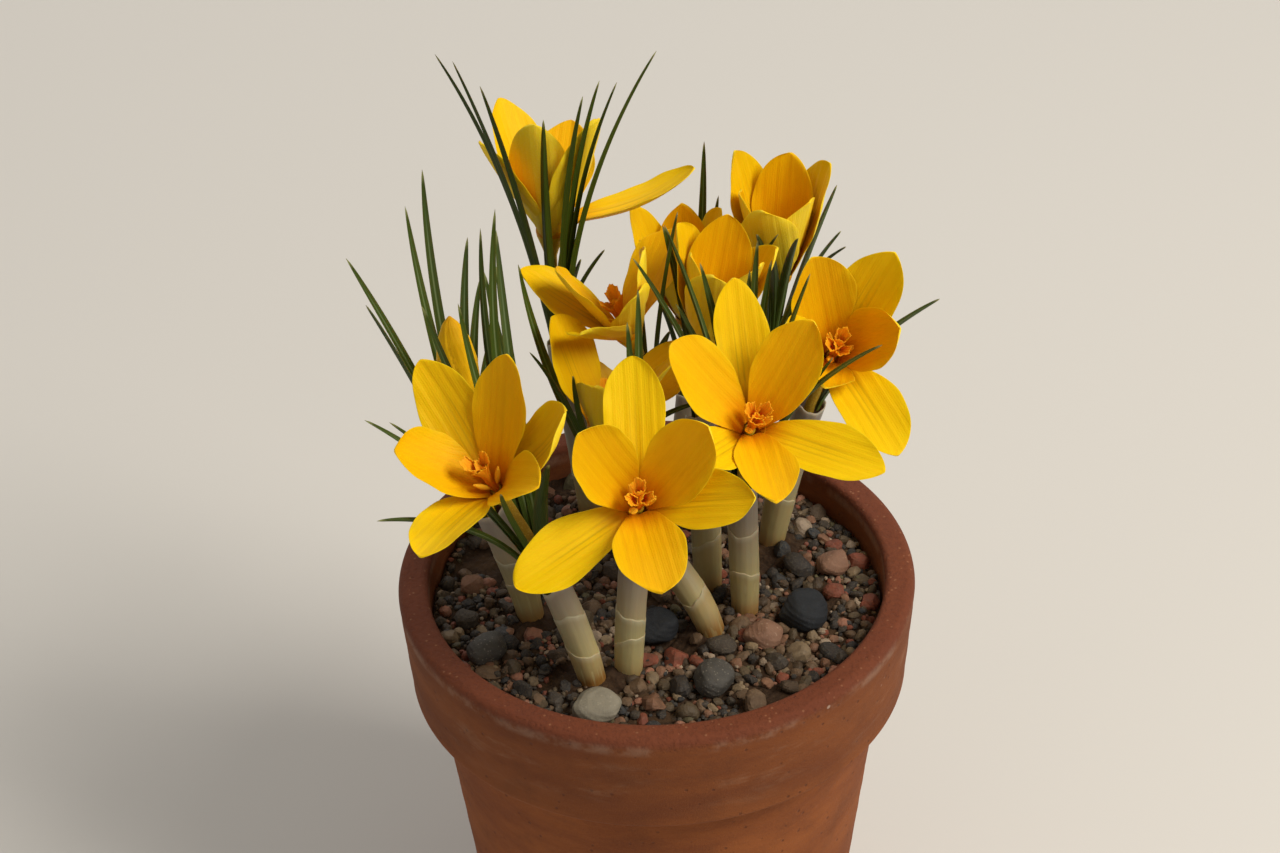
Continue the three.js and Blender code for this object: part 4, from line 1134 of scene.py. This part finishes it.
def stone_finish(name, dark, light, fleck, flecks, size):
    f = Finish(name, Specular_IOR_Level=0.4)
    grain, cloud = f.noise(size * 0.5, 5, 0.75), f.noise(size * 4, 4, 0.6)
    colour = f.coats(
        f.mix(cloud, dark, light),
        (f.cells(size).fall(0.12, 0.3) * flecks, fleck),
        (grain.rise(0.5, 0.8) * 0.25, "1d1712"))
    height = grain * 0.8 + f.noise(size * 2.2, 4, 0.6) * 0.5
    return f.finish(colour, 0.55 + 0.3 * grain, height, 0.25)


ROCKS = {
    "stone_pale": stone_finish("pale stone", "736b5a", "928a78", "aba48f", 0.25, 0.9),
    "stone_slate": stone_finish("slate", "0f1012", "23262a", "40444a", 0.25, 0.6),
    "stone_pink": stone_finish("pink stone", "6c4a38", "8d6a52", "a98d74", 0.5, 0.9),
    "stone_grey": stone_finish("speckled grey stone", "33302c", "57524a", "857d6f", 0.6, 0.7),
}
random = np.random.default_rng(77)
directions, quads, fans = ball(60, 90)
x, y, z = directions.T
rough = STONE_SIZE * (1 + ripple(x + z, y - z, STONE_WAVES))
for number, (rock, right, back, length, breadth, height, turn) in enumerate(PEBBLES, 1):
    normals = unit(random.normal(size=(STONE_PLANES, 3)))
    reach = plane_reach(normals, random.uniform(0.74, 0.98, (STONE_PLANES, 1)), directions)
    soft = (np.sum(np.minimum(reach, 3.0) ** -SOFTNESS, 0) + 1.0) ** (-1 / SOFTNESS)
    points = directions * (soft * rough)[:, None] * [length / 2, breadth / 2, height / 2]
    spin = rotations(2, np.radians([turn]))[0]
    skin = Skin(f"loose_stone_{number}")
    middle = [right, back, MIX_TOP_Z + STONE_RAISED * height]
    skin.add_faces(points @ spin.T + middle, quads, fans, {})
    skin.build(ROCKS[rock], rock, f"pebble_{number}")

# %% [markdown]
# ## Clay pot
#
# A terracotta pot is pressed, dried and fired. Its outline is a lathe profile with points close
# together, so that low rings from the tool show in the mesh, and the whole is pushed very slightly
# out of round. Lime has bloomed on the collar, and the rim is redder and worn.

# %% Pot
POT_STEP, POT_COLUMNS = 1.2, 288


def arc(radius, height, size, first, last, count=7):
    """Points of a rounded edge, about a centre at a radius and height."""
    angle = np.radians(np.linspace(first, last, count))
    return np.stack([radius + size * cos(angle), height + size * sin(angle)], -1).tolist()


POT_PROFILE = np.array(
    [[8.2, 0.2], [9, 0]] + arc(35.8, 1.2, 1.2, -90, 0) + [[45.5, 70.6]]
    + arc(46.9, 70.9, 1.3, 180, 90, 5) + arc(49.2, 73.3, 1.1, -90, 0, 5)
    + arc(50.1, 94.1, 1.9, 0, 90, 9) + arc(47.4, 94.6, 1.4, 90, 180, 7)
    + [[45, 80.5], [41.6, 70.5], [32.7, 8.5], [31.5, 7], [9, 7], [8.2, 6.8]])


def pot_grid():
    """The profile turned about Z, with throwing rings and a slow wobble in its radius."""
    runs = np.linalg.norm(np.diff(POT_PROFILE, axis=0), axis=1)
    parts = [max(int(run / POT_STEP), 1) for run in runs]
    at = np.concatenate([i + np.arange(n) / n for i, n in enumerate(parts)] + [[len(runs)]])
    radius, height = on_line(POT_PROFILE, at).T[..., None]
    turn = dial(POT_COLUMNS)
    rings = 0.02 * sin(height * 1.9) + 0.025 * sin(height * 0.71 + 1) + 0.01 * sin(height * 4.3)
    wobble = 0.08 * sin(2 * turn + 0.02 * height) + 0.05 * sin(3 * turn + 1)
    return around(np.degrees(turn), radius + (rings + wobble) * (radius > 30), height)


def clay_finish():
    f = Finish("fired clay", Specular_IOR_Level=0.3)
    height, wide = f.node("ShaderNodeSeparateXYZ", {}, {"Vector": f.place}, out="Z"), f.squeeze(3.5)
    grain = f.noise(0.45, 5, 0.75)
    pits = f.cells(3.1).fall(0.05, 0.16)
    lime = f.noise(14, 5, 0.7, wide).rise(0.5, 0.72) * height.rise(72, 84) * height.fall(88, 91)
    bloom = f.noise(9, 4, 0.7).rise(0.4, 0.62) * height.rise(91.6, 93.2) * height.fall(93.8, 95.2)
    stipple = f.noise(0.9, 4, 0.7).rise(0.42, 0.7) * height.rise(90.5, 94.5)
    crumbs = f.cells(1.7).fall(0.08, 0.2) * height.rise(94, 95.6)
    body = f.coats(
        f.mix(f.noise(26, 4, 0.6, wide).rise(0.3, 0.7), "773c19", "904f22"),
        (f.noise(9, 4, 0.65).rise(0.45, 0.75) * 0.4, "5e3118"),
        (grain.rise(0.35, 0.8) * 0.3, "a36433"),
        # painted shade: all the clay from the collar up is darkened, to stand in for the light it
        # gets
        (height.rise(71, 75) * 0.35, "562a0e"),
        (pits * 0.6, "532a17"),
        (lime * 0.22, "a88468"),
        (f.cells(11).fall(0.02, 0.055) * 0.5, "d8c4b0"),
        (height.rise(93.4, 95.0) * 0.6, "66301f"),
        (bloom * (0.08 + 0.32 * grain), "b79a84"),
        (stipple * 0.35, "5a2c18"),
        (crumbs * 0.3, "b5805a"))
    relief = grain * 0.6 + (1 - pits) * 0.5 + f.noise(4, 3, 0.5, wide) * 0.5 - stipple * 0.5
    return f.finish(body, 0.72 + 0.2 * grain, relief, 0.25)


skin = Skin("clay_pot")
skin.add(pot_grid(), hoop=True)
skin.build(clay_finish(), "clay", "pot")

# %% [markdown]
# ## Corms
#
# The corms are buried and keep their solids. They only get a netted brown coat of fibres.

# %% Corm finish
def corm_finish():
    f = Finish("fibrous corm", Specular_IOR_Level=0.25)
    net, cloud = f.cells(0.9, f.squeeze(0.3)), f.noise(2.4, 4, 0.6)
    colour = f.coats(f.mix(cloud, "5e4026", "96734a"), (net.fall(0.1, 0.4) * 0.5, "3a2615"))
    return f.finish(colour, 0.7 + 0.2 * cloud, net, 0.4)


CORM = corm_finish()
for node_name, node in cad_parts.items():
    if node_name.startswith("corm_"):
        node.data.materials.clear()
        node.data.materials.append(CORM)

# %% [markdown]
# ## Floor
#
# The pot stands on a plain pale floor, which is part of the stage and not of the plant.

# %% Floor
FLOOR_REACH = 3     # metres


def floor_finish():
    f = Finish("pale floor")
    tone = f.noise(900, 2, 0.5)
    return f.finish(f.mix(tone, "cfc9c0", "d3cec6"), 0.8 + 0.05 * tone)


corners = [(x * FLOOR_REACH, y * FLOOR_REACH, 0) for x, y in ((-1, -1), (1, -1), (1, 1), (-1, 1))]
floor_mesh = bpy.data.meshes.new("floor")
floor_mesh.from_pydata(corners, [], [(0, 1, 2, 3)])
floor_mesh.materials.append(floor_finish())
floor = new_object("floor", floor_mesh)
